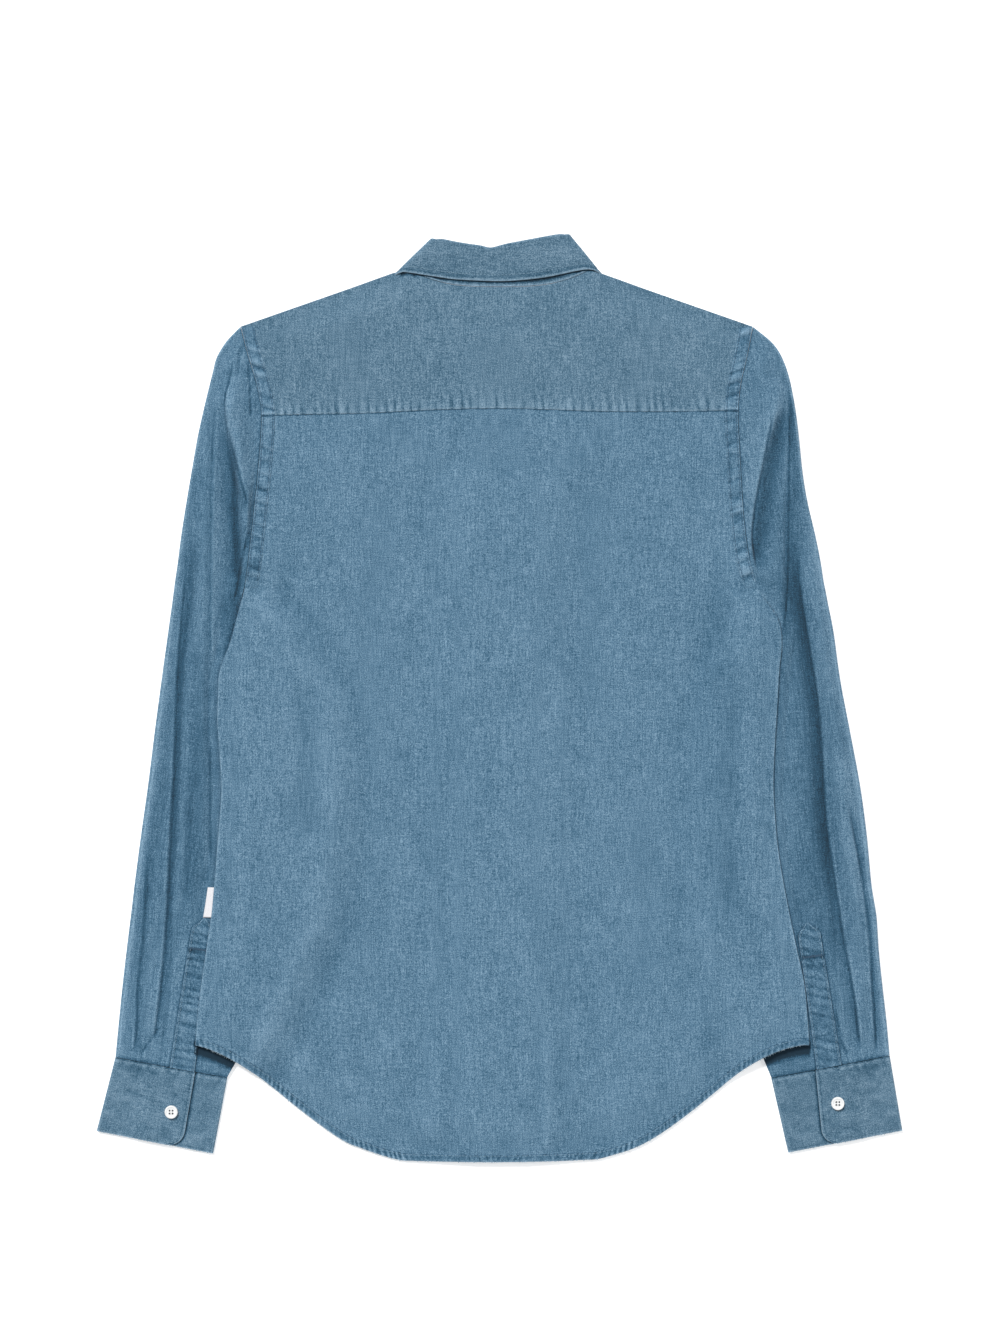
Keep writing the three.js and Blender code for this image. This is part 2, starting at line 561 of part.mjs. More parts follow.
// One row of a sleeve: a place in plan at a distance from the outer fold, and the distances of its upper
// columns
function sleeveRow(side, i) {
  const row = sleeveRows(side)[i];
  const from = new THREE.Vector2(side * row.outerX, row.outerY);
  const to = new THREE.Vector2(side * (row.innerX + SEAM * 0.5), row.innerY);
  const length = from.distanceTo(to);
  const at = (d, z) => {
    const p = from.clone().lerp(to, d / length);
    return new THREE.Vector3(p.x, p.y, z);
  };
  const rows = sleeveRows(side).length;
  const widening = (i - TOWER_ROW) / (rows - 1 - TOWER_ROW);
  const full = lerp(TOWER_WIDTH, TOWER_END_WIDTH, clamp(widening, 0, 1));
  const half = i === TOWER_ROW ? TOWER_TIP / 2 : Math.min(full / 2, 0.16 * length);
  const band = spread(4, row.slit + half, row.slit - half);
  const inside = spread(SLEEVE_INNER_COLUMNS + 1, 1, 0).slice(0, -1);
  const outside = spread(SLEEVE_OUTER_COLUMNS + 1, row.slit - half, SLEEVE_EDGE / 2).slice(1, -1);
  const upper = [...inside.map((t) => lerp(band[0], length, t ** 1.2)), ...band, ...outside];
  const high = (d) => sleeveHigh(side, at(d, 0).x, at(d, 0).y);
  return { at, length, band, upper, high };
}

// A sleeve is one sheet, folded round at its outer edge. Its two ends meet at the armhole and at the
// underarm.
function sleeve(side) {
  const radius = SLEEVE_EDGE / 2;
  const outer = [];
  const inner = [];
  sleeveRows(side).forEach((_, i) => {
    const { at, length, upper, high } = sleeveRow(side, i);
    const outside = upper.map((d) => at(d, high(d)));
    const inside = upper.map((d) => at(d, high(d) - CLOTH));
    for (const angle of spread(FOLD_STEPS + 1, Math.PI / 2, -Math.PI / 2)) {
      const turn = (r) => at(radius - r * Math.cos(angle), radius + r * Math.sin(angle));
      outside.push(turn(radius));
      inside.push(turn(radius - CLOTH));
    }
    for (const d of spread(SLEEVE_UNDER_COLUMNS + 1, radius, length).slice(1)) {
      outside.push(at(d, 0));
      inside.push(at(d, CLOTH));
    }
    outer.push(outside);
    inner.push(inside);
  });
  return wall(outer, inner);
}

// The pointed band along a sleeve's slit lies on the sleeve, so it is made from the sleeve's points.
function sleevePlacket(side) {
  const rows = sleeveRows(side).map((_, i) => sleeveRow(side, i)).slice(TOWER_ROW);
  const lifted = (by) => rows.map(({ at, band, high }) => band.map((d) => at(d, high(d) + by)));
  return wall(lifted(SEAM + CLOTH), lifted(SEAM));
}

// A cuff is one doubled strip: from its hidden end under the overlap to the inner fold, back underneath
// to the outer fold, and over the top to the overlap's rounded end.
function cuff(corners) {
  const corner = (name) => new THREE.Vector2(...corners[name]);
  const radius = CUFF_LOW / 2;
  const outer = [];
  const inner = [];
  for (const b of [0, 0.25, 0.5, 0.75, 0.84, 0.91, 0.96, 1]) {
    const from = corner("outerTop").lerp(corner("outerBottom"), b);
    const to = corner("innerTop").lerp(corner("innerBottom"), b);
    const length = from.distanceTo(to);
    const at = (d, z) => {
      const p = from.clone().lerp(to, d / length);
      return new THREE.Vector3(p.x, p.y, z);
    };
    const intoCorner = CUFF_CORNER - clamp((1 - b) * CUFF_DEPTH, 0, CUFF_CORNER);
    const cut = CUFF_CORNER - Math.sqrt(CUFF_CORNER ** 2 - intoCorner ** 2);
    const overlapEnd = (corners.overlap + corners.overlapGrows * b) * CUFF_WIDTH - cut;
    const topOf = (d) => lerp(CUFF_LOW, CUFF_HIGH, smooth((d / length - 0.2) / 0.24));
    const outside = [];
    const inside = [];
    const put = (d, z, dIn, zIn) => {
      outside.push(at(d, z));
      inside.push(at(dIn, zIn));
    };
    for (const d of spread(4, UNDERLAP_START * length, length - radius).slice(0, -1)) {
      put(d, CUFF_LOW, d, CUFF_LOW - BAND);
    }
    for (const a of spread(FOLD_STEPS + 1, Math.PI / 2, -Math.PI / 2)) {
      const turn = (r) => [length - radius + r * Math.cos(a), radius + r * Math.sin(a)];
      put(...turn(radius), ...turn(radius - BAND));
    }
    for (const d of spread(4, length - radius, radius).slice(1, -1)) put(d, 0, d, BAND);
    for (const a of spread(FOLD_STEPS + 1, -Math.PI / 2, Math.PI / 2)) {
      const turn = (r) => [radius - r * Math.cos(a), radius + r * Math.sin(a)];
      put(...turn(radius), ...turn(radius - BAND));
    }
    for (const d of spread(8, radius, overlapEnd).slice(1)) put(d, topOf(d), d, topOf(d) - BAND);
    outer.push(outside);
    inner.push(inside);
  }
  return wall(outer, inner);
}

// A collar ring, from its left end at the front round the back of the neck to its right end. Each station
// is a line from the collar's fold to its other long edge, and the cloth faces away from the neck. The
// ring turns over at both sides. A lip at the fold reaches in, over the edge of what lies inside the
// ring.
function collarRing({ frontLine, backLine, sideLine, low, high, thickness, backs, lip, lift }) {
  const radius = (high - low) / 2;
  const up = new THREE.Vector3(0, 0, 1);
  const stations = [];
  const put = (line, z, normal, turn, rise = 0) => stations.push({ line, z: z + rise, normal, turn });
  const turnOver = (side, angles) => {
    const [from, to] = sideLine(side);
    const out = new THREE.Vector3(Math.abs(from[1] - to[1]) * side, Math.abs(to[0] - from[0]), 0).normalize();
    for (const a of angles) {
      const normal = out.clone().multiplyScalar(Math.cos(a)).addScaledVector(up, Math.sin(a));
      put([from, to], low + radius, normal, radius);
    }
  };
  const quarter = Math.PI / 2;
  const front = NECK_ANGLES.slice(0, -1);
  for (const a of front) put(frontLine(-1, a), low, up.clone().negate(), 0, lift(-1, a));
  turnOver(-1, spread(FOLD_STEPS + 1, -quarter, quarter));
  for (const x of backs.slice(1, -1)) put(backLine(x), high, up, 0);
  turnOver(1, spread(FOLD_STEPS + 1, quarter, -quarter));
  for (const a of [...front].reverse()) put(frontLine(1, a), low, up.clone().negate(), 0, lift(1, a));
  const grid = (inset) =>
    stations.map(({ line: [from, to], z, normal, turn }) => {
      const along = new THREE.Vector3(from[0] - to[0], from[1] - to[1], 0).normalize();
      const face = new THREE.Vector3(from[0], from[1], z).addScaledVector(normal, turn);
      const other = new THREE.Vector3(to[0], to[1], z).addScaledVector(normal, turn);
      const row = [1, 0.5, 0].map((t) => face.clone().lerp(other, t).addScaledVector(normal, -inset));
      if (!lip) return row;
      const r = lip.radius - inset;
      const bend = (a, drop) => {
        const bent = face.clone().addScaledVector(normal, r * Math.sin(a) - drop);
        return bent.addScaledVector(along, r * Math.cos(a));
      };
      return [...row, bend(quarter / 2, lip.radius), bend(0, lip.radius), bend(0, lip.depth)];
    });
  return wall(grid(0), grid(thickness));
}

const foldY = (x) => through(FOLD_LINE, "x", "y", x);
// The line at a side about which the leaf turns over, inside its outline
function leafSide(side) {
  const half = side < 0 ? FOLD_HALF_LEFT : FOLD_HALF_RIGHT;
  const fold = new THREE.Vector2(side * half, foldY(side * half));
  const edge = new THREE.Vector2(side * LEAF_EDGE_HALF, LEAF_EDGE_SIDE);
  const out = new THREE.Vector2(side * (fold.y - edge.y), LEAF_EDGE_HALF - half).setLength(LEAF_TOP / 2);
  return [fold.sub(out).toArray(), edge.sub(out).toArray()];
}

function collarLeaf() {
  const frontLine = (side, angle) => {
    const [fold, edge] = leafSide(side);
    const t = (angle - NECK_ANGLES[0]) / (Math.PI / 2 - NECK_ANGLES[0]);
    const round = lerp(Math.asin(LEAF_OPENING / Math.abs(fold[0])), Math.PI / 2, t);
    const reach = lerp(COLLAR_POINT_X, Math.abs(edge[0]), t) + 4 * Math.sin(t * Math.PI);
    return [
      [fold[0] * Math.sin(round), fold[1] - (fold[1] - FRONT_FOLD) * Math.cos(round)],
      [side * reach, lerp(COLLAR_POINT_Y, edge[1], t)],
    ];
  };
  const [left, right] = [leafSide(-1), leafSide(1)];
  const backLine = (x) => {
    const share = (x + NECK_HALF) / (2 * NECK_HALF);
    const foldX = lerp(left[0][0], right[0][0], share);
    const end = lerp(left[0][1] - foldY(left[0][0]), right[0][1] - foldY(right[0][0]), share);
    const near = Math.abs(2 * share - 1) ** 8;
    const edgeAt = lerp(left[1][0], right[1][0], share);
    return [
      [foldX, foldY(foldX) - FOLD_ROUND + (end + FOLD_ROUND) * near],
      [edgeAt, through(LEAF_EDGE, "x", "y", edgeAt)],
    ];
  };
  const lip = { radius: FOLD_ROUND, depth: BAND + SEAM + CLOTH };
  const backs = spread(19, -NECK_HALF, NECK_HALF);
  return collarRing({
    frontLine, backLine, sideLine: leafSide, low: 0, high: LEAF_TOP, thickness: BAND, backs, lip, lift: () => 0,
  });
}

function collarStand() {
  const sideLine = (side) => [
    [side * STAND_FOLD_HALF, STAND_FOLD_SIDE],
    [side * NECK_HALF, NECK_SIDE],
  ];
  const frontLine = (side, angle) => [
    [side * STAND_FOLD_HALF * Math.sin(angle), STAND_FOLD_SIDE - STAND_DROP * Math.cos(angle)],
    [side * NECK_HALF * Math.sin(angle), NECK_SIDE - NECK_DROP * Math.cos(angle)],
  ];
  const backLine = (x) => {
    const foldX = (STAND_FOLD_HALF * x) / NECK_HALF;
    const inside = foldY(foldX) - FOLD_ROUND - STAND_SHORT;
    const near = Math.abs(x / NECK_HALF) ** 6;
    return [
      [foldX, lerp(inside, STAND_FOLD_SIDE, near)],
      [x, neckBackY(x) + SEAM],
    ];
  };
  // The left end lies inside the right one where they button, as the left front does.
  const lift = (side, angle) => {
    const x = side * NECK_HALF * Math.sin(angle);
    return side < 0 ? Math.max(centreLift(x), NECK_LIFT) - NECK_LIFT : 0;
  };
  return collarRing({
    frontLine, backLine, sideLine, low: STAND_BOTTOM, high: STAND_TOP, thickness: CLOTH, backs: neckColumns,
    lift,
  });
}

// A button: a disc with a raised rim, standing on the underside or lying on the cuff
function button() {
  const rim = 0.7 * BUTTON_RADIUS;
  const profile = [
    [0, 0],
    [BUTTON_RADIUS - 1, 0],
    [BUTTON_RADIUS, 0.8],
    [BUTTON_RADIUS - 0.7, BUTTON_HEIGHT],
    [rim, BUTTON_HEIGHT],
    [rim - 0.8, BUTTON_HEIGHT - 0.6],
    [0, BUTTON_HEIGHT - 0.6],
  ].map(([r, z]) => new THREE.Vector2(r, z));
  const lathe = new THREE.LatheGeometry(profile, BUTTON_SEGMENTS);
  lathe.deleteAttribute("normal");
  lathe.deleteAttribute("uv");
  lathe.rotateX(Math.PI / 2);
  return mergeVertices(lathe, 1e-4);
}

function sideLabel() {
  const plan = spread(4).map((v) => {
    const y = lerp(LABEL.top, LABEL.bottom, v);
    const seam = edgeX(-1, y) - SEAM * 0.5;
    return spread(4).map((u) => [seam - u * lerp(LABEL.reachTop, LABEL.reachBottom, v), y]);
  });
  const low = (x, y) => {
    const out = (edgeX(-1, y) - SEAM * 0.5 - x) / LABEL.reachBottom;
    return lerp(SLEEVE_LIFT + 0.8, Math.max(sleeveHigh(-1, x, y) + SEAM, SLEEVE_LIFT - 0.4), out);
  };
  return layer(plan, low, (x, y) => low(x, y) + LABEL.wall);
}

const shirt = new THREE.Group();
function add(name, geometry, material = denim) {
  const mesh = new THREE.Mesh(geometry, material);
  mesh.name = name;
  shirt.add(mesh);
  return mesh;
}

add("back", backPanel());
add("yoke", yokePanel());
add("front_left", frontPanel(-1));
add("front_right", frontPanel(1));
add("front_placket", placketBand());
add("collar_leaf", collarLeaf());
add("collar_stand", collarStand());
add("sleeve_left", sleeve(-1));
add("sleeve_right", sleeve(1));
add("sleeve_placket_left", sleevePlacket(-1));
add("sleeve_placket_right", sleevePlacket(1));
for (const [name, corners] of [["left", CUFF_LEFT], ["right", CUFF_RIGHT]]) {
  add(`cuff_${name}`, cuff(corners));
  const onCuff = add(`cuff_button_${name}`, button(), pearl);
  onCuff.position.set(...corners.button, CUFF_HIGH + SEAM);
}
// The front's buttons face down, so each stands on its face under the placket.
function frontButton(name, y) {
  const below = add(name, button(), pearl);
  below.rotation.x = Math.PI;
  below.position.set(0, y, BUTTON_HEIGHT);
}
frontButton("stand_button", STAND_BUTTON);
for (let i = 0; i < FRONT_BUTTONS; i++) frontButton(`front_button_${i + 1}`, FIRST_BUTTON - i * BUTTON_SPACING);
add("side_label", sideLabel(), ribbon);

export default shirt;
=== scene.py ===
# Denim shirt laid flat and face down, so its back is on top.
# Shapes are worked out in millimetres in the shirt's frame, and turned into metres when a mesh is made.
import math

import bpy
import numpy as np
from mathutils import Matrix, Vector
from mathutils.bvhtree import BVHTree


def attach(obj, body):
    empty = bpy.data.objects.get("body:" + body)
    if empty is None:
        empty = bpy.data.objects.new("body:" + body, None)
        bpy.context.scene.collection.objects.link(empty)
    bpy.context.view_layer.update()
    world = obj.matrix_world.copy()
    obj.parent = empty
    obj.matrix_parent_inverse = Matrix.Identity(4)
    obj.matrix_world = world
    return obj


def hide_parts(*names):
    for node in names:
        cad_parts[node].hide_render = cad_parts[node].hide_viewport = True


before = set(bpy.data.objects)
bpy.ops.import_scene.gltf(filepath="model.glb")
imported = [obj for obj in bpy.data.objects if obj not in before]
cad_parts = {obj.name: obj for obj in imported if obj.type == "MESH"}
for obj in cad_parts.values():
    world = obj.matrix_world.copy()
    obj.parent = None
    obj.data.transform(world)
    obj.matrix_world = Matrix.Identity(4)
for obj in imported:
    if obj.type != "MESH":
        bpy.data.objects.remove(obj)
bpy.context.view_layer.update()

# Cloth and layers, as in the solids
CLOTH = 1.0
BAND = 1.2
SEAM = 0.3
LAYER = CLOTH + SEAM
HEM_LOW, HEM_HIGH = -370.8, -281.0
HEM_FLAT, HEM_CORNER = 78.0, 243.0
HEM_ENDS = (-242.2, 246.8)
HEM_WIDTH = 6.0
FELL_WIDTH = 10.5
YOKE_SEAM = 228.5
SHOULDER_TIP, SHOULDER_SLOPE = 296.4, 0.349
# How far the shoulder line dips under the collar, by side, and where
COLLAR_DIP = {-1: (1.6, 84.5), 1: (0.4, 81.5)}
SLEEVE_LIFT, SLEEVE_TUCKED = 5.4, 3.6
SLEEVE_EDGE, SLEEVE_PUFF = 3.0, 2.6
ARMPIT, RAMP = 95.0, 11.0
BODY_LOFT, BODY_LOFT_LEAST = 1.5, 0.4
NECK_LIFT, NECK_REACH, NECK_CENTRE, NECK_BACK_LIFT = 2.3, 92.0, 300.0, 3.2
PLACKET_HALF, PLACKET_LIFT, BUTTON_STAND = 13.0, 2.3, 10.0
UNDER_LIFT = PLACKET_LIFT + BAND + SEAM
NECK_HALF, NECK_SIDE, NECK_BACK, NECK_DROP = 73.5, 342.6, 328.0, 80.6
FRONT_FOLD, FRONT_SHORTER = 287.0, 6.0
FOLD_ROUND = 1.7
# Where the collar turns over at each side: half its fold, and its lower corner
LEAF_ENDS = {-1: (54.0, 84.5, 337.8), 1: (55.5, 82.0, 338.5)}
STAND_FOLD_HALF, STAND_FOLD_SIDE, STAND_DROP, STAND_SHORT = 52.4, 362.7, 76.0, 0.2
LEAF_TOP, LEAF_SLANT = 7.4, 6.4
STAND_TOP, STAND_BOTTOM = 5.9, 2.3
COLLAR_POINT_X, COLLAR_POINT_Y, LEAF_OPENING = 48.0, 232.0, 3.0
CUFF_DEPTH, CUFF_WIDTH, CUFF_CORNER = 61.0, 93.0, 13.0
CUFF_LOW = 3.3
CUFF_HIGH = CUFF_LOW + BAND + SEAM
TOWER_ROW, TOWER_TIP, TOWER_WIDTH, TOWER_END_WIDTH = 21, 1.6, 17.0, 20.0
TOWER_BAR = {-1: 201.0, 1: 207.0}
BUTTON_RADIUS, BUTTON_HEIGHT, HOLE = 5.25, 2.0, 1.15
BUTTON_HOLES = ((HOLE, HOLE), (-HOLE, HOLE), (-HOLE, -HOLE), (HOLE, -HOLE))
STAND_BUTTON, FRONT_BUTTON, FRONT_BUTTONS, BUTTON_PITCH = 274.0, 215.0, 7, 77.0
LABEL_TOP, LABEL_LOW, LABEL_WIDTH, LABEL_OUT = -151.5, -175.5, 5.0, 6.5
SIDES = ((-1, "left"), (1, "right"))
# A millimetre in metres
METRE = 0.001
FLOOR_HALF, FLOOR_LOW = 30.0, -0.0003
CAMERA_PLACE = (0.0004, 0.0244, 2.5197)
CAMERA_LENS, CAMERA_SENSOR = 85, 36

# Half widths of the body: height, left, right
BODY_EDGE = np.array([
    (296.4, 207, 202.5), (290, 205.2, 201.2), (281, 203, 199.6), (268, 199.3, 196.8), (254, 195, 193.5),
    (241, 192, 191.6), (228.5, 190.2, 190.7), (212, 190.6, 191.2), (194, 191.9, 192.2), (172, 193.9, 193.4),
    (150, 196.3, 194.8), (126, 198.8, 197.2), (108, 200.7, 200), (96, 202.3, 203.6), (88, 203.6, 206.3),
    (80, 205.5, 209.5), (60, 210.6, 222.4), (42, 215.5, 225.5), (20, 223.5, 223.6), (0, 224.8, 222.4),
    (-20, 225.2, 221.2), (-46, 223.4, 219.6), (-73, 222, 218.8), (-97, 223.3, 220), (-120, 225.2, 222),
    (-148, 227.4, 226.2), (-176, 230, 231.5), (-204, 234, 237.3), (-232, 238, 243.3), (-260, 241.3, 246),
    (-281, 242.8, 247.5),
], float)
ARMPIT_ROW = 15

# Rows of the sleeves from the shoulder down: the outer fold's x and y, and how far in the line of the
# cuff's slit is. From the armpit down, the last two columns are the x and y of the underarm fold, which
# the body hides.
SLEEVE_LEFT = [
    (207.2, 296.3, 2.6), (217.2, 286, 6.6), (222.8, 278, 11), (226.8, 270, 16), (229.6, 258.5, 19.5),
    (232.9, 245.5, 22), (236.8, 229, 24), (241.2, 209, 26), (245.6, 184, 28), (250, 158, 30),
    (254.4, 130, 32), (257.2, 108, 34), (259.4, 93, 35), (260.7, 83, 36), (261.9, 74, 37),
    (265.1, 51, 39, 186, 56), (270.2, 14, 43, 163, 18), (275.5, -26, 46, 150, -25), (281, -70, 50, 145, -72),
    (286.6, -110, 53, 147, -115), (291.2, -145, 55.5, 153, -154), (293.9, -167.5, 59.1, 161, -187.5),
    (295, -176.5, 58.9, 166, -197), (297.9, -200, 58.3, 175, -219), (301.2, -228.5, 57.4, 188, -247),
    (304.2, -258, 56, 202, -276), (307, -287.3, 54.4, 217.6, -303.7),
]
SLEEVE_RIGHT = [
    (202.8, 296.3, 2.6), (215.6, 286, 7.6), (222, 278.8, 12.5), (226.8, 270, 17), (230.9, 258.5, 20.5),
    (233.9, 245.5, 22.5), (236.8, 229, 24), (239.3, 209, 25), (242.3, 180, 26), (246.3, 156, 28),
    (252.4, 130, 31), (256.6, 109, 33), (258.9, 94, 34), (260.9, 84, 35), (262.6, 75, 36),
    (267.1, 52, 36, 205, 56), (272.4, 14, 37, 194, 18), (280, -26, 40, 187, -25), (288.2, -70, 45, 184, -72),
    (293.6, -110, 49, 182, -115), (297.2, -148, 52, 182, -157), (300.8, -170.5, 55.8, 183, -190.5),
    (301.8, -179.5, 55.4, 186, -200), (303.4, -204, 53.3, 191, -222), (306.2, -231, 52, 198, -250),
    (309.4, -259, 51, 206.5, -277.5), (311.8, -286, 49.4, 217.2, -303.9),
]
FOLD_LINE = [
    (-54, 367.4), (-47, 367), (-38.5, 365), (-27, 362.8), (-15.6, 361.1), (-7.6, 359.4), (1.5, 361.4),
    (7.3, 362.8),
    (18.7, 364.9), (30.1, 367.1), (41.5, 369.4), (51, 371.3), (55.5, 370.8),
]
LEAF_EDGE = [
    (-81, 339.5), (-71, 338.9), (-62, 337.5), (-49.7, 335.6), (-34.4, 333.6), (0, 332.2), (18.8, 333.2),
    (37.2, 335.4), (49.2, 337.8), (61.6, 340.4), (70.8, 341.6), (80, 340.8),
]
# The ends of each cuff's outer and inner side, how far the overlap reaches across it, and the button's place
CUFFS = {
    "left": dict(outer=[(-307.1, -287.7), (-322, -346.4)], inner=[(-217.5, -304.1), (-228.8, -364.4)],
                 overlap=0.7, grows=0.05, button=(-262, -330.8)),
    "right": dict(outer=[(311.9, -286.4), (322, -346)], inner=[(217.2, -304.3), (230.7, -363.6)],
                  overlap=0.65, grows=0.045, button=(270, -324)),
}

# Folds: a path in plan, its height (below 0 for a trough), and how far it spreads to the left and to the
# right of someone who walks along it
SLEEVE_FOLDS = [
    ([(-218, 262), (-213, 222), (-203, 165), (-201, 118)], 3.2, 9, 6),
    ([(-221, 240), (-218, 185), (-213, 130), (-213, 92), (-222, 40)], -2.6, 7, 9),
    ([(-244, 160), (-252, 100), (-259, 20), (-262, -60), (-266, -150), (-273, -250)], -2.2, 5, 9),
    ([(-268, -30), (-277, -120), (-286, -190), (-291, -280)], -1.6, 6, 6),
    ([(-232, 230), (-233, 120), (-235, 0), (-234, -100), (-236, -160)], 1.8, 7, 8),
    ([(222, 262), (220, 225), (210, 170), (203, 118)], 2.6, 6, 9),
    ([(226, 232), (215, 180), (209, 130), (207, 100)], -2.6, 9, 6),
    ([(232, 215), (234, 150), (238, 100), (247, 50), (258, -10), (264, -90), (275, -170),
      (284, -250)], -2.8, 9, 11),
    ([(246, 150), (258, 60), (270, -30), (282, -110), (291, -180), (297, -270)], 1.6, 7, 7),
    ([(276, -75), (288, -120), (294, -170), (299, -230), (301, -282)], -1.8, 5, 6),
]
# Sharper creases on the same sleeves, too fine for the solids
SLEEVE_CREASES = [
    ([(-218.8, 242), (-214.8, 205), (-208.4, 174), (-201, 152), (-199.5, 125), (-202, 104)], 1.3, 6, 1.8),
    ([(-217, 215), (-212, 190), (-212, 152), (-209, 110), (-212, 62), (-222, 28)], -1.8, 3, 4.5),
    ([(-246, 132), (-248, 79), (-255.4, 20), (-257.6, -33), (-261.8, -126), (-267.6, -218),
      (-276, -282)], -1.8, 5, 1.6),
    ([(-249, 132), (-252, 79), (-258.6, 20), (-260.8, -33), (-265, -126), (-270, -218),
      (-278.2, -280)], 1.2, 1.6, 4.5),
    ([(-274.8, -72), (-281.6, -152), (-288, -244), (-290.4, -288)], -1.3, 1.6, 4),
    ([(-276.8, -72), (-283.8, -152), (-290, -244), (-292.4, -288)], 0.8, 3.5, 1.6),
    ([(-229.2, 243), (-231, 160), (-232.4, 60), (-233, -120)], -0.7, 2, 3),
    ([(-246, -70), (-250, -150), (-263, -225), (-268, -286)], -1.0, 2, 4),
    ([(224, 233), (215.5, 207), (208, 180), (202.6, 152), (200.4, 132), (202, 112)], 0.6, 1.5, 9),
    ([(226, 236), (218, 207), (211, 180), (205.5, 155), (203, 132), (204, 112), (207, 96)], -1.3, 8, 2),
    ([(232.4, 249), (232, 211), (229.2, 145), (228, 88), (225, 40)], -1.0, 2.5, 1.5),
    ([(236, 128), (239, 86), (246, 40), (253.6, -13), (260, -112), (267.5, -158), (282, -238), (288, -287)],
     -1.9, 1.8, 7),
    ([(239.5, 128), (242.5, 86), (249.5, 40), (257, -13), (263.6, -112), (271, -158), (285.4, -238),
      (291, -285)],
     1.2, 6, 1.8),
    ([(275.6, -72), (288, -125), (292.4, -152), (297.2, -206), (301, -286)], -1.5, 1.8, 4),
    ([(273.4, -72), (285.6, -125), (290, -152), (294.8, -206), (298.6, -286)], 0.9, 4, 1.6),
    ([(266, -224), (273, -269), (278.8, -288)], -1.0, 1.6, 3),
    ([(251, 60), (262, -20), (274, -100), (284, -170)], 0.9, 6, 6),
]
BODY_FOLDS = [
    ([(184, 20), (185, -40), (184, -120), (181, -190)], -1.1, 12, 16),
    ([(-148, 30), (-152, -30), (-152, -80), (-148, -122)], -1.1, 14, 14),
    ([(37, -268), (38, -310), (38, -366)], 0.9, 7, 5),
    ([(-56, -262), (-52, -300), (-53, -362)], 0.7, 8, 8),
    ([(-128, -230), (-126, -270), (-121, -320)], 0.6, 8, 10),
]
# Fine creases on the sleeves: a path, how marked it is, and the side of its pale ridge, 1 for the left of
# someone who walks along it and -1 for the right
SLEEVE_LINES = [
    ([(-226.8, 242), (-229.2, 198), (-230, 142), (-230.8, 78), (-230.8, 20)], 0.5, 1),
    ([(-249, 118), (-252.5, 79), (-257.5, 14), (-259.5, -50), (-262.4, -106), (-265.2, -168), (-269, -220),
      (-276, -280)], 1.0, -1),
    ([(-281.5, -120), (-283.6, -175), (-286.2, -206), (-289, -231), (-289.8, -263),
      (-291.8, -288)], 1.0, -1),
    ([(-263.6, -146), (-262, -202), (-265, -250), (-271, -284)], 0.4, 1),
    ([(-271, -262), (-279, -274), (-287, -285)], 0.8, 1),
    ([(-213.6, 268), (-215.6, 254), (-218.4, 244), (-219.4, 234), (-219.2, 224), (-216.6, 211),
      (-208.2, 180),
      (-199.6, 149)], 1.1, 1),
    ([(-201, 268), (-199.8, 253), (-199.2, 243), (-198.8, 232), (-198.4, 224)], 1.0, 1),
    ([(-205, 284), (-207.6, 275), (-208.2, 266), (-209.2, 257)], 0.6, 1),
    ([(-198.5, 136), (-205, 114), (-209.2, 90), (-212, 76)], 0.9, -1),
    ([(-230.8, -34), (-231, -84), (-230.4, -134)], 0.8, -1),
    ([(219, 229), (213.6, 202), (208, 174), (203.4, 146), (202, 126), (205.2, 104)], 1.0, -1),
    ([(231.6, 256), (231.6, 198), (230.8, 134), (230, 86), (227.6, 62), (225, 46)], 1.0, -1),
    ([(237, 120), (240.5, 84), (247.5, 40), (255, -10), (260, -90), (264.6, -140)], 0.7, 1),
    ([(261.5, -96), (266, -134), (270.9, -166), (274.8, -194), (278.8, -215), (282.8, -239), (286, -264),
      (288.4, -285)], 1.1, 1),
    ([(279, -88), (286, -122), (291.4, -155), (296.2, -194), (297.8, -226), (299.6, -252),
      (301.3, -286)], 1.2, -1),
    ([(268, -248), (270.8, -264), (273, -275), (279, -286)], 0.8, 1),
]
# Painted shade on the sleeves, in their valleys and where they run under the body, with a few ridges painted
# paler, painted light
SLEEVE_PAINTED_SHADING = [
    ([(-217, 214), (-212.5, 176), (-212, 142), (-211, 110), (-208, 78), (-216, 34),
      (-222, 2)], -0.55, 7, 2.5),
    ([(-204, 176), (-198, 142), (-202, 112)], -0.35, 5, 5),
    ([(-249, 136), (-250, 110), (-253, 60), (-257.5, 14), (-260, -50), (-264, -110)], -0.2, 8, 3),
    ([(-243, 66), (-242, -18), (-243.6, -66), (-245, -114), (-248, -172)], -0.3, 8, 6),
    ([(-281, -110), (-285, -166), (-290, -230)], -0.15, 6, 4),
    ([(236, 140), (238, 110), (241, 80), (247, 40), (254, -10), (260, -100), (264.6, -160),
      (270, -240)], -0.42, 2.5, 26),
    ([(229, 238), (222, 214), (214, 180), (208, 150), (205, 120)], -0.5, 9, 2),
    ([(207, 230), (203, 200), (199, 160)], 0.15, 6, 8),
    ([(232, 250), (235, 200), (236, 150)], -0.35, 6, 1.5),
    ([(-238, 0), (-240, -70), (-241, -130), (-243, -200)], -0.3, 11, 11),
    ([(-240, 190), (-242, 150), (-244, 100)], -0.25, 10, 10),
    ([(-208, 84), (-212, 50), (-214, 10)], -0.22, 10, 10),
    ([(268, 80), (272, 20), (278, -60)], -0.15, 12, 12),
    ([(303, -140), (306, -190), (308, -250)], -0.3, 10, 10),
    ([(240, -110), (241, -160), (242, -220)], -0.18, 12, 12),
]
# Painted shade along a soft trough on the right of the back, and a stretch painted paler near the left
# corner of the tail
BODY_PAINTED_SHADING = [
    ([(176, 130), (176, 40), (177, -60), (178, -160), (182, -240)], -0.2, 26, 22),
    ([(-196, -262), (-176, -276), (-150, -296)], 0.2, 12, 14),
]
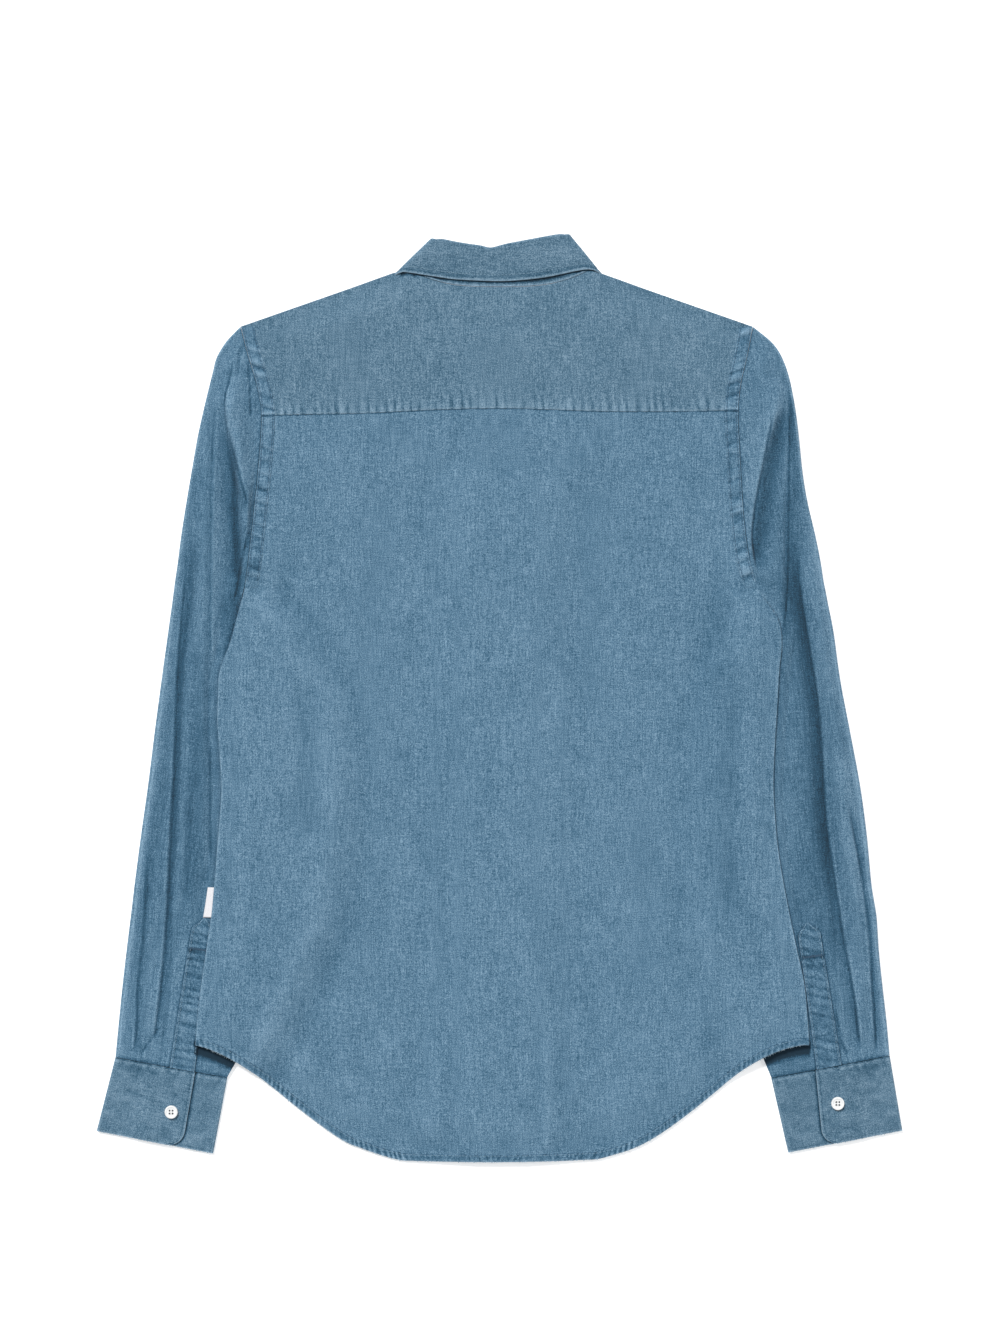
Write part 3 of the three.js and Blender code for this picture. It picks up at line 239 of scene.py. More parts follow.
# Softer folds on the back that only the scene shows
BODY_CREASES = [
    ([(-44, -130), (-45, -190), (-43, -242)], -0.45, 7, 7),
    ([(88, -286), (64, -310), (40, -334)], 0.35, 5, 5),
    ([(-186, 60), (-176, -20), (-172, -90)], 0.5, 14, 14),
    ([(196, 70), (198, -10), (196, -100), (204, -180)], 0.5, 12, 12),
    ([(-20, 200), (-26, 120), (-20, 40)], 0.35, 16, 16),
    ([(70, 190), (66, 90), (74, -20)], -0.35, 16, 18),
    ([(-100, 190), (-96, 100), (-104, 0), (-98, -90)], -0.35, 15, 15),
    ([(120, 200), (126, 110), (118, 10)], 0.3, 15, 15),
    ([(30, 20), (24, -80), (32, -180)], -0.3, 16, 14),
    ([(110, -60), (116, -150), (108, -240)], -0.4, 12, 14),
    ([(-82, -140), (-80, -220), (-90, -300)], 0.35, 10, 12),
    ([(160, -160), (164, -220), (158, -280)], 0.4, 9, 12),
]


def smooth(t):
    t = np.clip(t, 0, 1)
    return t * t * (3 - 2 * t)


def lerp(a, b, t):
    return a + (b - a) * t


def bell(distance, width):
    """1 at no distance, falling off evenly on both sides."""
    return np.exp(-((distance / width) ** 2))


def pairs(a, b):
    return np.meshgrid(a, b, indexing="ij")


def run_of(p):
    """How far along a line its points are."""
    return np.r_[0, np.cumsum(np.hypot(*np.diff(p, axis=0).T))]


def curve(keys, values):
    """A smooth curve through points, as a function."""
    k, v = np.array(keys, float), np.array(values, float)
    if k[0] > k[-1]:
        k, v = k[::-1], v[::-1]
    before, after = np.r_[0, np.arange(len(k) - 1)], np.r_[np.arange(1, len(k)), len(k) - 1]
    slope = (v[after] - v[before]) / (k[after] - k[before])

    def at(x):
        x = np.asarray(x, float)
        i = np.clip(np.searchsorted(k, x, side="right") - 1, 0, len(k) - 2)
        span = k[i + 1] - k[i]
        t = np.clip((x - k[i]) / span, 0, 1)
        bend = t * (1 - t) * span * ((1 - t) * slope[i] - t * slope[i + 1])
        return lerp(v[i], v[i + 1], t * t * (3 - 2 * t)) + bend

    return at


def noise1(x, pitch, seed):
    """Smooth noise from -1 to 1 along a line."""
    values = np.random.default_rng(seed).uniform(-1, 1, 4096)
    x = np.asarray(x, float) / pitch + 1000
    i = np.floor(x).astype(int)
    t = x - i
    return lerp(values[i % 4096], values[(i + 1) % 4096], t * t * (3 - 2 * t))


def noise2(x, y, across, up, seed):
    """Smooth noise from -1 to 1 over a plane."""
    values = np.random.default_rng(seed).uniform(-1, 1, (256, 256))
    x, y = np.asarray(x, float) / across + 128, np.asarray(y, float) / up + 128
    i, j = np.floor(x).astype(int), np.floor(y).astype(int)
    s, t = smooth(x - i), smooth(y - j)
    low = lerp(values[i % 256, j % 256], values[(i + 1) % 256, j % 256], s)
    high = lerp(values[i % 256, (j + 1) % 256], values[(i + 1) % 256, (j + 1) % 256], s)
    return lerp(low, high, t)


def ripple(s, pitch, seed):
    """Puckers along a seam: uneven waves from -1 to 1."""
    phase = 2 * math.pi * s / pitch + 2.2 * noise1(s, 2.3 * pitch, seed)
    return np.sin(phase) * (0.62 + 0.38 * noise1(s, 1.7 * pitch, seed + 1))


def pleats(s, pitch, seed):
    """Puckers with broad backs and narrow dark valleys, from -1 to 1."""
    phase = 2 * math.pi * s / pitch + 2.6 * noise1(s, 2.1 * pitch, seed)
    deep = 0.6 + 0.4 * noise1(s, 1.3 * pitch, seed + 1)
    return (1 - 2 * ((1 - np.sin(phase)) / 2) ** 3 - 0.4) * deep


def dense(path, step=6.0):
    """A smooth line through the points of a path."""
    p = np.array(path, float)
    s = run_of(p)
    n = max(3, int(s[-1] / step) + 1)
    at = np.linspace(0, s[-1], n)
    return np.c_[curve(s, p[:, 0])(at), curve(s, p[:, 1])(at)]


def near_path(p, x, y, reach):
    """Which points lie within reach of a path's box."""
    near = (x > p[:, 0].min() - reach) & (x < p[:, 0].max() + reach)
    return near & (y > p[:, 1].min() - reach) & (y < p[:, 1].max() + reach)


def from_path(p, x, y):
    """How far points are from a path, above 0 on its left and below 0 on its right, and how far along it."""
    best = np.full(x.shape, 1e9)
    side = np.zeros(x.shape)
    along = np.zeros(x.shape)
    for i in range(len(p) - 1):
        (ax, ay), (bx, by) = p[i], p[i + 1]
        dx, dy = bx - ax, by - ay
        t = np.clip(((x - ax) * dx + (y - ay) * dy) / (dx * dx + dy * dy), 0, 1)
        d = np.hypot(x - ax - t * dx, y - ay - t * dy)
        closer = d < best
        best = np.where(closer, d, best)
        side = np.where(closer, dx * (y - ay) - dy * (x - ax), side)
        along = np.where(closer, (i + t) / (len(p) - 1), along)
    return np.where(side > 0, best, -best), along


def fold_height(folds, x, y, start=0.2, end=0.15):
    """Height of a set of folds at points in plan."""
    x, y = np.broadcast_arrays(np.asarray(x, float), np.asarray(y, float))
    total = np.zeros(x.shape)
    for path, height, left, right in folds:
        p = dense(path)
        near = near_path(p, x, y, 3 * max(left, right))
        if near.any():
            away, along = from_path(p, x[near], y[near])
            width = np.where(away > 0, left, right)
            fade = smooth(along / start) * smooth((1 - along) / end)
            total[near] += height * fade * bell(away, width)
    return total


def fine_creases(lines, x, y):
    """Height and tone of fine creases: a thin valley painted dark, a painted shade, with a low ridge painted
    a little paler on one side.
    """
    x, y = np.broadcast_arrays(np.asarray(x, float), np.asarray(y, float))
    height, tone = np.zeros(x.shape), np.zeros(x.shape)
    for path, marked, ridge in lines:
        p = dense(path, 4.0)
        near = near_path(p, x, y, 10)
        if near.any():
            away, along = from_path(p, x[near], y[near])
            away = away * ridge
            uneven = 0.8 + 0.4 * noise1(along * 9, 1.0, 131)
            fade = marked * smooth(along / 0.12) * smooth((1 - along) / 0.08) * uneven
            valley = bell(away, 1.0)
            crest = bell(away - 2.3, 1.3)
            beside = bell(away + 2.6, 2.6)
            height[near] += fade * (0.15 * crest - 0.6 * valley)
            tone[near] += fade * (0.12 * crest - 0.8 * valley - 0.2 * beside)
    return height, tone


# Plan of the body
left_edge = curve(BODY_EDGE[:, 0], BODY_EDGE[:, 1])
right_edge = curve(BODY_EDGE[:, 0], BODY_EDGE[:, 2])


def side_of(x):
    return np.where(np.asarray(x) < 0, -1.0, 1.0)


def half_width(side, y):
    return np.where(np.asarray(side) < 0, left_edge(y), right_edge(y))


def inside_body(x, y):
    """How far points are from the body's nearer side."""
    return half_width(side_of(x), y) - np.abs(x)


def beside_body(side, x, y):
    """How far points are past the body's side."""
    return np.abs(x) - half_width(side, y)


def shoulder_y(x):
    from_tip = inside_body(x, SHOULDER_TIP)
    left = np.asarray(x) < 0
    dip, start = (np.where(left, COLLAR_DIP[-1][i], COLLAR_DIP[1][i]) for i in range(2))
    return SHOULDER_TIP + from_tip * SHOULDER_SLOPE - dip * smooth((start - np.abs(x)) / 4)


# The tail isn't quite even: how far its edge lies above an even curve
hem_uneven = curve(*zip(
    (-243, 3.6), (-193, 0.2), (-168, -2.2), (-146, -3.0), (-123, -2.8), (-109, -0.4), (-91, 1.0),
    (-60, 0.2), (0, 0),
    (50, 0.6), (72, 1.4), (92, 2.2), (108, 0.8), (124, 0), (148, 0.2), (170, 1.4), (198, 4.6), (247, 3.6),
))


def hem_y(x):
    t = np.clip((np.abs(x) - HEM_FLAT) / (HEM_CORNER - HEM_FLAT), 0, 1)
    return lerp(HEM_LOW, HEM_HIGH, 0.75 * smooth(t) + 0.25 * t) + hem_uneven(x)


def beside_hem(x, distance):
    """Points at a distance from the tail's edge, square to it."""
    slope = (hem_y(x + 1) - hem_y(x - 1)) / 2
    length = np.hypot(1, slope)
    return x - distance * slope / length, hem_y(x) + distance / length


# The yoke's seam bows up a little in the middle of the back
seam_y = curve([-190, -150, -110, -70, -35, 5, 40, 80, 130, 190],
               [225.3, 226.2, 226.9, 228.8, 230.2, 230.8, 229.8, 228.5, 228.4, 229.4])


def neck_back_y(x):
    return NECK_BACK - SEAM + (NECK_SIDE - NECK_BACK) * (np.abs(x) / NECK_HALF) ** 3


def neck_front_y(x):
    return NECK_SIDE - (NECK_DROP + SEAM) * np.sqrt(np.maximum(0, 1 - (x / (NECK_HALF + SEAM)) ** 2))


def with_armhole(rows, column):
    whole = []
    for i, row in enumerate(rows):
        inner = row[3:] if len(row) > 3 else (BODY_EDGE[i + 1, column], BODY_EDGE[i + 1, 0])
        whole.append((*row[:3], *inner))
    return np.array(whole, float)


SLEEVES = {-1: with_armhole(SLEEVE_LEFT, 1), 1: with_armhole(SLEEVE_RIGHT, 2)}
underarm = {s: curve(r[:, 4], r[:, 3]) for s, r in SLEEVES.items()}
outer_fold = {s: curve(r[:, 1], r[:, 0]) for s, r in SLEEVES.items()}


def underarm_x(side, y):
    return np.where(np.asarray(side) < 0, underarm[-1](y), underarm[1](y))


def climb(y, wider):
    return smooth((ARMPIT + RAMP + wider - y) / (2 * RAMP + wider))


def side_lift(x, y, width, wider):
    beyond = underarm_x(side_of(x), np.minimum(y, ARMPIT - RAMP)) - 4 - np.abs(x)
    past = np.where(y > ARMPIT - RAMP, inside_body(x, ARMPIT - RAMP), beyond)
    return SLEEVE_LIFT * climb(y, wider) * smooth(1 - past / width)


def neck_distance(x, y):
    return np.hypot(x, y - NECK_CENTRE) - NECK_REACH


def centre_lift(x):
    lift = np.where(x < BUTTON_STAND + 1, UNDER_LIFT, PLACKET_LIFT)
    return lift * smooth(1 - (np.abs(x) - PLACKET_HALF - 1) / 32)


def front_low(x, y):
    neck = NECK_LIFT * smooth(1 - neck_distance(x, y) / 35)
    return np.maximum(centre_lift(x), neck) + side_lift(x, y, 26, 0)


def back_low(x, y):
    below_neck = 1 - smooth((y - FRONT_FOLD - 3) / 30)
    centre = UNDER_LIFT * smooth(1 - (np.abs(x) - PLACKET_HALF - 1) / 60) * below_neck
    neck = NECK_BACK_LIFT * smooth(1 - neck_distance(x, y) / 75)
    held = np.maximum(centre, neck) + side_lift(x, y, 40, 45)
    from_shoulder = smooth((shoulder_y(x) - y) / 26)
    shoulder = lerp(1, from_shoulder, smooth((np.abs(x) - NECK_HALF) / 12))
    seam = lerp(1, smooth(inside_body(x, y) / 24), climb(y, 0))
    hem = smooth((y - hem_y(x)) / 40)
    puffed = BODY_LOFT * hem * smooth(neck_distance(x, y) / 60)
    loft = np.maximum(BODY_LOFT_LEAST, puffed + fold_height(BODY_FOLDS, x, y))
    low = front_low(x, y)
    return low + LAYER + np.maximum(0, held - low + loft) * shoulder * seam


def flatter(y):
    """The sleeves' folds are pressed flatter towards the cuffs."""
    return lerp(0.4, 1, smooth((y + 240) / 150))


def sleeve_high(side, x, y):
    """Height of a sleeve's upper face without its sharper creases."""
    from_outer = outer_fold[side](y) - np.abs(x)
    from_body = beside_body(side, x, y)
    from_underarm = np.abs(x) - underarm[side](y)
    sewn = smooth((y - ARMPIT + RAMP - 2) / (RAMP - 2))
    at_seam = back_low(side * half_width(side, y), y) + CLOTH
    tucked = SLEEVE_TUCKED - (SLEEVE_TUCKED - 2 * CLOTH - SEAM) * smooth(1 - from_underarm / 12)
    inner = lerp(tucked, at_seam, sewn)
    near_cuff = smooth((y + 300) / 60)
    seen = smooth((from_body - 2) / 16)
    puffed = SLEEVE_EDGE + SLEEVE_PUFF * smooth(from_outer / 24) * (0.35 + 0.65 * near_cuff)
    folds = fold_height(SLEEVE_FOLDS, x, y) * smooth(from_outer / 10) * (0.5 + 0.5 * near_cuff) * flatter(y)
    folds_seen = lerp(smooth(from_body / 10), smooth(from_body / 5), sewn)
    return np.maximum(lerp(inner, puffed, seen) + folds * folds_seen, 2 * CLOTH + SEAM)


# Meshes
def grid_faces(rows, columns):
    """Quads of a closed wall between two grids of points."""
    r, c = pairs(np.arange(rows - 1), np.arange(columns - 1))
    a = (r * columns + c).ravel()
    n = rows * columns
    top = np.c_[a, a + 1, a + columns + 1, a + columns]
    low = np.c_[a + n, a + n + columns, a + n + columns + 1, a + n + 1]
    i = np.arange(rows - 1) * columns
    j = np.arange(columns - 1)
    last = (rows - 1) * columns
    first_side = np.c_[i, i + columns, i + columns + n, i + n]
    e = i + columns - 1
    last_side = np.c_[e + columns, e, e + n, e + columns + n]
    first_end = np.c_[j + 1, j, j + n, j + 1 + n]
    last_end = np.c_[last + j, last + j + 1, last + j + 1 + n, last + j + n]
    return np.concatenate([top, low, first_side, last_side, first_end, last_end])


def make(name, points, faces, material, sharp, attributes):
    mesh = bpy.data.meshes.new(name)
    faces = faces.tolist() if isinstance(faces, np.ndarray) else faces
    mesh.from_pydata((np.asarray(points, float) * METRE).tolist(), [], faces)
    mesh.polygons.foreach_set("use_smooth", np.ones(len(mesh.polygons), bool))
    mesh.set_sharp_from_angle(angle=sharp)
    for key, values in attributes.items():
        kept = mesh.attributes.new(key, "FLOAT", "POINT")
        kept.data.foreach_set("value", np.asarray(values, np.float32).ravel())
    mesh.materials.append(material)
    obj = bpy.data.objects.new(name, mesh)
    bpy.context.scene.collection.objects.link(obj)
    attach(obj, "root")
    return obj


def relief(z, spacing):
    """How far each point of a grid of heights stands above its surroundings. The colour is paler on ridges,
    partly faded cloth and partly painted light, and darker in hollows, a painted shade.
    """
    around = z.copy()
    for _ in range(3):
        p = np.pad(around, 2, mode="edge")
        around = (p[:-4, 2:-2] + p[4:, 2:-2] + p[2:-2, :-4] + p[2:-2, 4:] + 4 * around) / 8
    return np.clip((z - around) / spacing, -1, 1)


def wall(name, outer, inner, material, wear_and_shading):
    """A closed wall of cloth between two grids of points, with its wear and painted shading kept on each
    point.
    """
    points = np.concatenate([outer.reshape(-1, 3), inner.reshape(-1, 3)])
    faces = grid_faces(*outer.shape[:2])
    a, b, c, d = (points[faces[:, i]] for i in range(4))
    volume = (a * np.cross(b, c)).sum() + (a * np.cross(c, d)).sum()
    if volume < 0:
        faces = faces[:, ::-1]
    attributes = {} if wear_and_shading is None else {"wear_and_shading": np.r_[wear_and_shading.ravel(), wear_and_shading.ravel()]}
    return make(name, points, faces, material, 1.0, attributes)


def layer(name, x, y, low, high, material, wear_and_shading=None):
    return wall(name, np.dstack([x, y, high]), np.dstack([x, y, low]), material, wear_and_shading)


def rounded(distance, radius=0.6):
    """How far a rounded edge falls off at a distance from it."""
    t = np.clip(distance / radius, 0, 1)
    return radius * (1 - np.sqrt(1 - (1 - t) ** 2))


# Materials
class Surface:
    """A material, with short calls for its nodes."""

    def __init__(self, name, roughness):
        self.material = bpy.data.materials.new(name)
        self.material.use_nodes = True
        self.tree = self.material.node_tree
        self.tree.nodes.clear()
        out = self.tree.nodes.new("ShaderNodeOutputMaterial")
        self.shader = self.tree.nodes.new("ShaderNodeBsdfPrincipled")
        self.tree.links.new(self.shader.outputs[0], out.inputs[0])
        self.place = self.node("TexCoord", "Object", {})
        self.set("Roughness", roughness)

    def put(self, socket, value):
        if isinstance(value, bpy.types.NodeSocket):
            self.tree.links.new(value, socket)
        else:
            socket.default_value = value

    def set(self, name, value):
        self.put(self.shader.inputs[name], value)

    def node(self, kind, output, inputs, **settings):
        n = self.tree.nodes.new(f"ShaderNode{kind}")
        for key, value in settings.items():
            setattr(n, key, value)
        for key, value in inputs.items():
            self.put(n.inputs[key], value)
        return n.outputs[output]

    def math(self, operation, a, b):
        return self.node("Math", 0, {0: a, 1: b}, operation=operation)

    def add(self, a, b):
        return self.math("ADD", a, b)

    def times(self, a, b):
        return self.math("MULTIPLY", a, b)

    def about(self, value, middle, strength):
        """How far a value is from its middle, times a strength."""
        return self.times(self.math("SUBTRACT", value, middle), strength)

    def scaled(self, vector, scale, turn=(0, 0, 0)):
        return self.node("Mapping", 0, {"Scale": scale, "Rotation": turn, "Vector": vector})

    def noise(self, vector, scale, detail, roughness):
        inputs = {"Scale": 1.0, "Detail": detail, "Roughness": roughness}
        inputs["Vector"] = self.scaled(vector, scale)
        return self.node("TexNoise", "Fac", inputs)

    def wave(self, vector, direction, scale):
        return self.node("TexWave", "Fac", {"Scale": scale, "Vector": vector}, bands_direction=direction)

    def attribute(self, name):
        return self.node("Attribute", "Fac", {}, attribute_name=name)

    def ramp(self, value, stops):
        n = self.tree.nodes.new("ShaderNodeValToRGB")
        elements = n.color_ramp.elements
        for i, (place, colour) in enumerate(stops):
            e = elements[i] if i < 2 else elements.new(place)
            e.position = place
            e.color = (*colour, 1)
        self.put(n.inputs[0], value)
        return n.outputs[0]

    def mix(self, factor, a, b):
        inputs = {"Factor": factor, "A": a, "B": b}
        return self.node("Mix", "Result", inputs, data_type="RGBA", blend_type="MIX")

    def bump(self, height, strength, distance, below=None):
        inputs = {"Strength": strength, "Distance": distance, "Height": height}
        if below is not None:
            inputs["Normal"] = below
        return self.node("Bump", 0, inputs)


def linear(*srgb):
    """A colour in linear light from its values from 0 to 255."""
    shares = (v / 255 for v in srgb)
    return tuple((c / 12.92 if c <= 0.04045 else ((c + 0.055) / 1.055) ** 2.4) for c in shares)


def scaled_by(colour, *factors):
    return tuple(c * k for c, k in zip(colour, factors * 3))


def chambray(name, tones, turn=0.0, shade=1.0, streak=0.075):
    """Washed denim in a plain weave: blue warp yarns over a pale weft, faded where it stands up, with
    painted light on ridges and painted shade in hollows and under other pieces.
    """
    dark, middle, pale = (scaled_by(tone, shade) for tone in tones)
    m = Surface(name, 0.92)
    mm = m.scaled(m.place, (1000, 1000, 1000), (0, 0, turn))
    warp = m.noise(mm, (0.95, streak, 0.3), 2.0, 0.6)
    weft = m.noise(mm, (0.1, 0.9, 0.3), 2.0, 0.6)
    fleck = m.noise(mm, (1.5, 1.3, 0.6), 1.0, 0.8)
    cloud = m.noise(mm, (0.035, 0.02, 0.03), 3.0, 0.55)
    yarn = m.add(m.times(warp, 0.28), m.times(weft, 0.18))
    yarn = m.add(m.add(yarn, m.about(fleck, 0.5, 0.76)), 0.26)
    yarn = m.add(yarn, m.about(cloud, 0.5, 0.1))
    crossing = m.times(m.wave(mm, "X", 0.55), m.wave(mm, "Y", 0.5))
    yarn = m.add(yarn, m.about(crossing, 0.25, 0.05))
    worn_and_shaded = m.add(yarn, m.times(m.attribute("wear_and_shading"), 0.2))
    deepest = scaled_by(dark, 0.3)
    palest = tuple(min(1.0, c) for c in scaled_by(pale, 1.5))
    tones_at = [(0.1, deepest), (0.9, palest), (0.34, dark), (0.5, middle), (0.66, pale)]
    m.set("Base Color", m.ramp(worn_and_shaded, tones_at))
    m.set("Specular IOR Level", 0.25)
    m.set("Sheen Weight", 0.12)
    m.set("Sheen Roughness", 0.5)
    fine = m.bump(m.add(crossing, yarn), 0.5, 0.00022)
    m.set("Normal", m.bump(m.noise(mm, (0.16, 0.07, 0.12), 3.0, 0.6), 0.35, 0.0012, fine))
    return m.material


TONES = linear(46, 86, 112), linear(87, 123, 148), linear(130, 161, 184)
CROSS = [scaled_by(tone, 1.0, 0.95, 0.92) for tone in TONES]
denim = chambray("denim", TONES)
denim_left = chambray("denim_sleeve_left", TONES, 0.09)
denim_right = chambray("denim_sleeve_right", TONES, -0.09, 0.97)
denim_yoke = chambray("denim_yoke", CROSS)
denim_collar = chambray("denim_collar", CROSS, math.pi / 2, 0.94, 0.1)
denim_cuff_left = chambray("denim_cuff_left", CROSS, 0.2 + math.pi / 2, 1.0, 0.2)
denim_cuff_right = chambray("denim_cuff_right", CROSS, -0.2 + math.pi / 2, 0.94, 0.2)


def thread_material(name, colour, roughness):
    m = Surface(name, roughness)
    twist = m.noise(m.place, (2600, 2600, 2600), 2.0, 0.6)
    m.set("Base Color", m.ramp(twist, [(0.3, scaled_by(colour, 0.72)), (0.7, colour)]))
    m.set("Normal", m.bump(twist, 0.4, 0.0002))
    return m.material


thread = thread_material("thread", linear(118, 150, 172), 0.7)
broken_yarn = thread_material("broken_yarn", linear(168, 190, 204), 0.9)
dark_thread = thread_material("dark_thread", linear(52, 84, 110), 0.7)
button_thread = thread_material("button_thread", linear(228, 228, 226), 0.7)
tape = thread_material("label_tape", linear(236, 236, 240), 0.75)


def pearl_material():
    m = Surface("pearl", 0.28)
    swirl = m.noise(m.place, (260, 420, 300), 4.0, 0.6)
    shell = m.ramp(swirl, [(0.3, linear(222, 224, 224)), (0.75, linear(248, 249, 249))])
    # The holes are painted dark, a painted shade for their depth
    m.set("Base Color", m.mix(m.attribute("hole"), shell, (*linear(70, 78, 88), 1)))
    m.set("Coat Weight", 0.4)
    m.set("Normal", m.bump(swirl, 0.08, 0.0004))
    return m.material


pearl = pearl_material()


# Body
def inside_edge(side, y):
    return side * (half_width(side, y) - SEAM * 0.5)


def across_body(y, share):
    return lerp(inside_edge(-1, y), inside_edge(1, y), share)


def steps(length, start, end, step, fine):
    """Shares of a length, closer together over fine stretches at its start and its end."""
    first, last = ([0.0, 0.25, 0.6, *np.arange(1.2, stretch, fine)] for stretch in (start, end))
    room = length - first[-1] - last[-1]
    middle = np.linspace(0, room, max(2, int(room / step) + 1))[1:-1] + first[-1]
    return np.r_[first, middle, length - np.array(last)[::-1]] / length


def soft(x, y, seed=3):
    """The cloth's own slight unevenness."""
    wide = 0.16 * noise2(x, y, 34, 95, seed) + 0.09 * noise2(x, y, 15, 40, seed + 1)
    return wide + 0.05 * noise2(x, y, 6, 14, seed + 2)


def fell_puckers(s, side):
    """Uneven puckers across the felled armhole seams, stronger in some stretches than in others."""
    strong = 0.75 + 0.35 * noise1(s, 19, 37)
    puckers = 0.7 * noise1(s + 90 * side, 4.2, 31) + 0.7 * pleats(s, 9.4, 33) + 0.25 * noise1(s, 1.8, 35)
    return puckers * strong


def armhole_ripple(x, y):
    side = side_of(x)
    from_edge = inside_body(x, y)
    slant = y + 40 * side + 0.35 * from_edge
    along = fell_puckers(slant, side) * smooth((y - ARMPIT + 12) / 30)
    past = np.maximum(0, from_edge - FELL_WIDTH)
    return 0.3 * along * bell(past, 4.0)


def back_surface(x, y):
    top = back_low(x, y) + CLOTH
    below = seam_y(x) - y
    inside = smooth(inside_body(x, y) / 10)
    top = top + (fold_height(BODY_CREASES, x, y) + soft(x, y)) * inside
    top = top + 0.12 * ripple(x, 7.0, 12) * bell(below, 6)
    top = top + 0.2 * ripple(x + 0.8 * y, 7.0, 19) * bell(y - hem_y(x), 8)
    return top + armhole_ripple(x, y)


def yoke_ticks(x, above):
    """The short upright puckers over the yoke's seam."""
    tall = 9 + 4 * noise1(x, 9, 6)
    return pleats(x + 0.1 * above, 7.0, 8) * bell(above, tall)


def yoke_surface(x, y):
    top = back_low(x, y) + CLOTH
    above = y - seam_y(x)
    inside = smooth(inside_body(x, np.minimum(y, SHOULDER_TIP)) / 10)
    neck = smooth(neck_distance(x, y) / 20 + 0.6)
    top = top + 0.4 * smooth(1 - above / 9)
    top = top + 0.34 * yoke_ticks(x, above)
    return top + soft(x, y, 23) * inside * neck + armhole_ripple(x, y)


def build_back():
    top = YOKE_SEAM - SEAM * 0.5
    width = 420.0
    v, u = pairs(steps(560.0, 12, 8, 3.0, 1.5), steps(width, 16, 16, 2.5, 1.5))
    x = across_body(lerp(top, HEM_HIGH, v), u)
    y = lerp(seam_y(x) - SEAM * 0.2, hem_y(across_body(HEM_HIGH, u)) + 1.0, v)
    high = back_surface(x, y)
    low = np.minimum(back_low(x, y), high - CLOTH)
    from_edge = np.minimum(u, 1 - u) * width
    # The relief paints ridges paler and hollows darker, painted light and shade, and the body's edges below
    # the armpits are worn pale
    wear_and_shading = 0.35 * relief(high, 0.5) + 0.4 * bell(from_edge, 1.6) * smooth((ARMPIT - 45 - y) / 30)
    under_yoke = smooth(1 - (seam_y(x) - y) / 1.3) * (0.75 + 0.45 * noise1(x, 2.6, 61))
    # Painted shading along the back's broad troughs from the table, and a dark line along the yoke's seam
    wear_and_shading = wear_and_shading + fold_height(BODY_PAINTED_SHADING, x, y) - 1.3 * under_yoke
    high = high - rounded(from_edge)
    return layer("back_panel", x, y, low, high, denim, wear_and_shading)


def build_yoke():
    width = 400.0
    v, u = pairs(steps(90.0, 2, 16, 2.4, 1.2), steps(width, 14, 14, 1.7, 1.5))
    x = across_body(lerp(SHOULDER_TIP, YOKE_SEAM + SEAM * 0.5, v), u)
    head = np.where(np.abs(x) > NECK_HALF, shoulder_y(x), neck_back_y(x))
    bottom = seam_y(x)
    y = lerp(head, bottom, v)
    high = yoke_surface(x, y)
    low = back_low(x, y)
    above = y - bottom
    seam = bell(above, 9)
    # The puckers over the seam are painted paler on their backs and darker between them, and the relief
    # paints ridges paler and hollows darker: painted light and shade
    wear_and_shading = 0.2 * relief(high, 0.4) + 0.75 * yoke_ticks(x, above) + 0.3 * smooth(1 - above / 1.6) + 0.1 * seam
    wear_and_shading = wear_and_shading + 0.25 * noise2(x, y, 3, 5, 27) * seam
    # A painted shadow: a dark line on the yoke just under the collar's edge
    wear_and_shading = wear_and_shading - 2.8 * smooth((1.7 - (leaf_edge(x) - y)) / 1.0) * smooth((84 - np.abs(x)) / 2)
    high = high - rounded(np.minimum((1 - v) * (head - bottom), np.minimum(u, 1 - u) * width), 0.35)
    return layer("yoke_panel", x, y, low, high, denim_yoke, wear_and_shading)


def body_top(x, y):
    return np.where(y > seam_y(x), yoke_surface(x, y), back_surface(x, y))


def build_fell(side, name):
    """The felled seam on the body beside an armhole."""
    inward = np.r_[0.0, 0.3, 0.8, np.arange(1.6, FELL_WIDTH - 1, 1.1), FELL_WIDTH - np.array([0.6, 0.2, 0])]
    yy, d = pairs(np.arange(SHOULDER_TIP - 0.5, ARMPIT - 8, -1.0), inward)
    x = side * (half_width(side, yy) - SEAM * 0.5 - d)
    yy = np.minimum(yy, shoulder_y(x) - 0.3)
    fade = smooth((yy - ARMPIT + 10) / 14)
    slant = yy + 40 * side + 0.35 * d
    cross = fell_puckers(slant, side) * np.sin(math.pi * np.clip(d / FELL_WIDTH, 0.12, 0.88)) ** 0.5 * 0.5
    groove = -0.25 * bell(d - 1.4, 0.6) - 0.35 * bell(d - FELL_WIDTH + 1.4, 0.7)
    over = yy - seam_y(x)
    seam_step = -0.35 * bell(over, 0.9)
    thick = 0.15 + 0.6 * fade
    high = body_top(x, yy) + thick + (cross + groove) * fade + seam_step
    # The puckers are painted paler on their tops and darker between them, painted light and shade, and the
    # stitch grooves are dark
    wear_and_shading = 1.7 * cross * fade + 1.2 * groove * (0.7 + 0.3 * noise1(yy, 1.7, 45)) - 0.12
    wear_and_shading = wear_and_shading + 0.3 * bell(d, 0.8) - 1.8 * bell(over + 0.4, 0.8)
    wear_and_shading = wear_and_shading + 1.1 * bell(over - 1.7, 0.9)
    wear_and_shading = wear_and_shading + 0.7 * bell(FELL_WIDTH - d, 0.8) * (0.3 + noise1(yy, 2.2, 46))
    wear_and_shading = 0.85 * wear_and_shading + 0.3 * noise2(x, yy, 2.2, 1.8, 47) * fade
    high = high - rounded(np.minimum(d, FELL_WIDTH - d), 0.55)
    low = body_top(x, yy) - 0.5
    return layer(name, x, yy, low, high, denim, wear_and_shading)


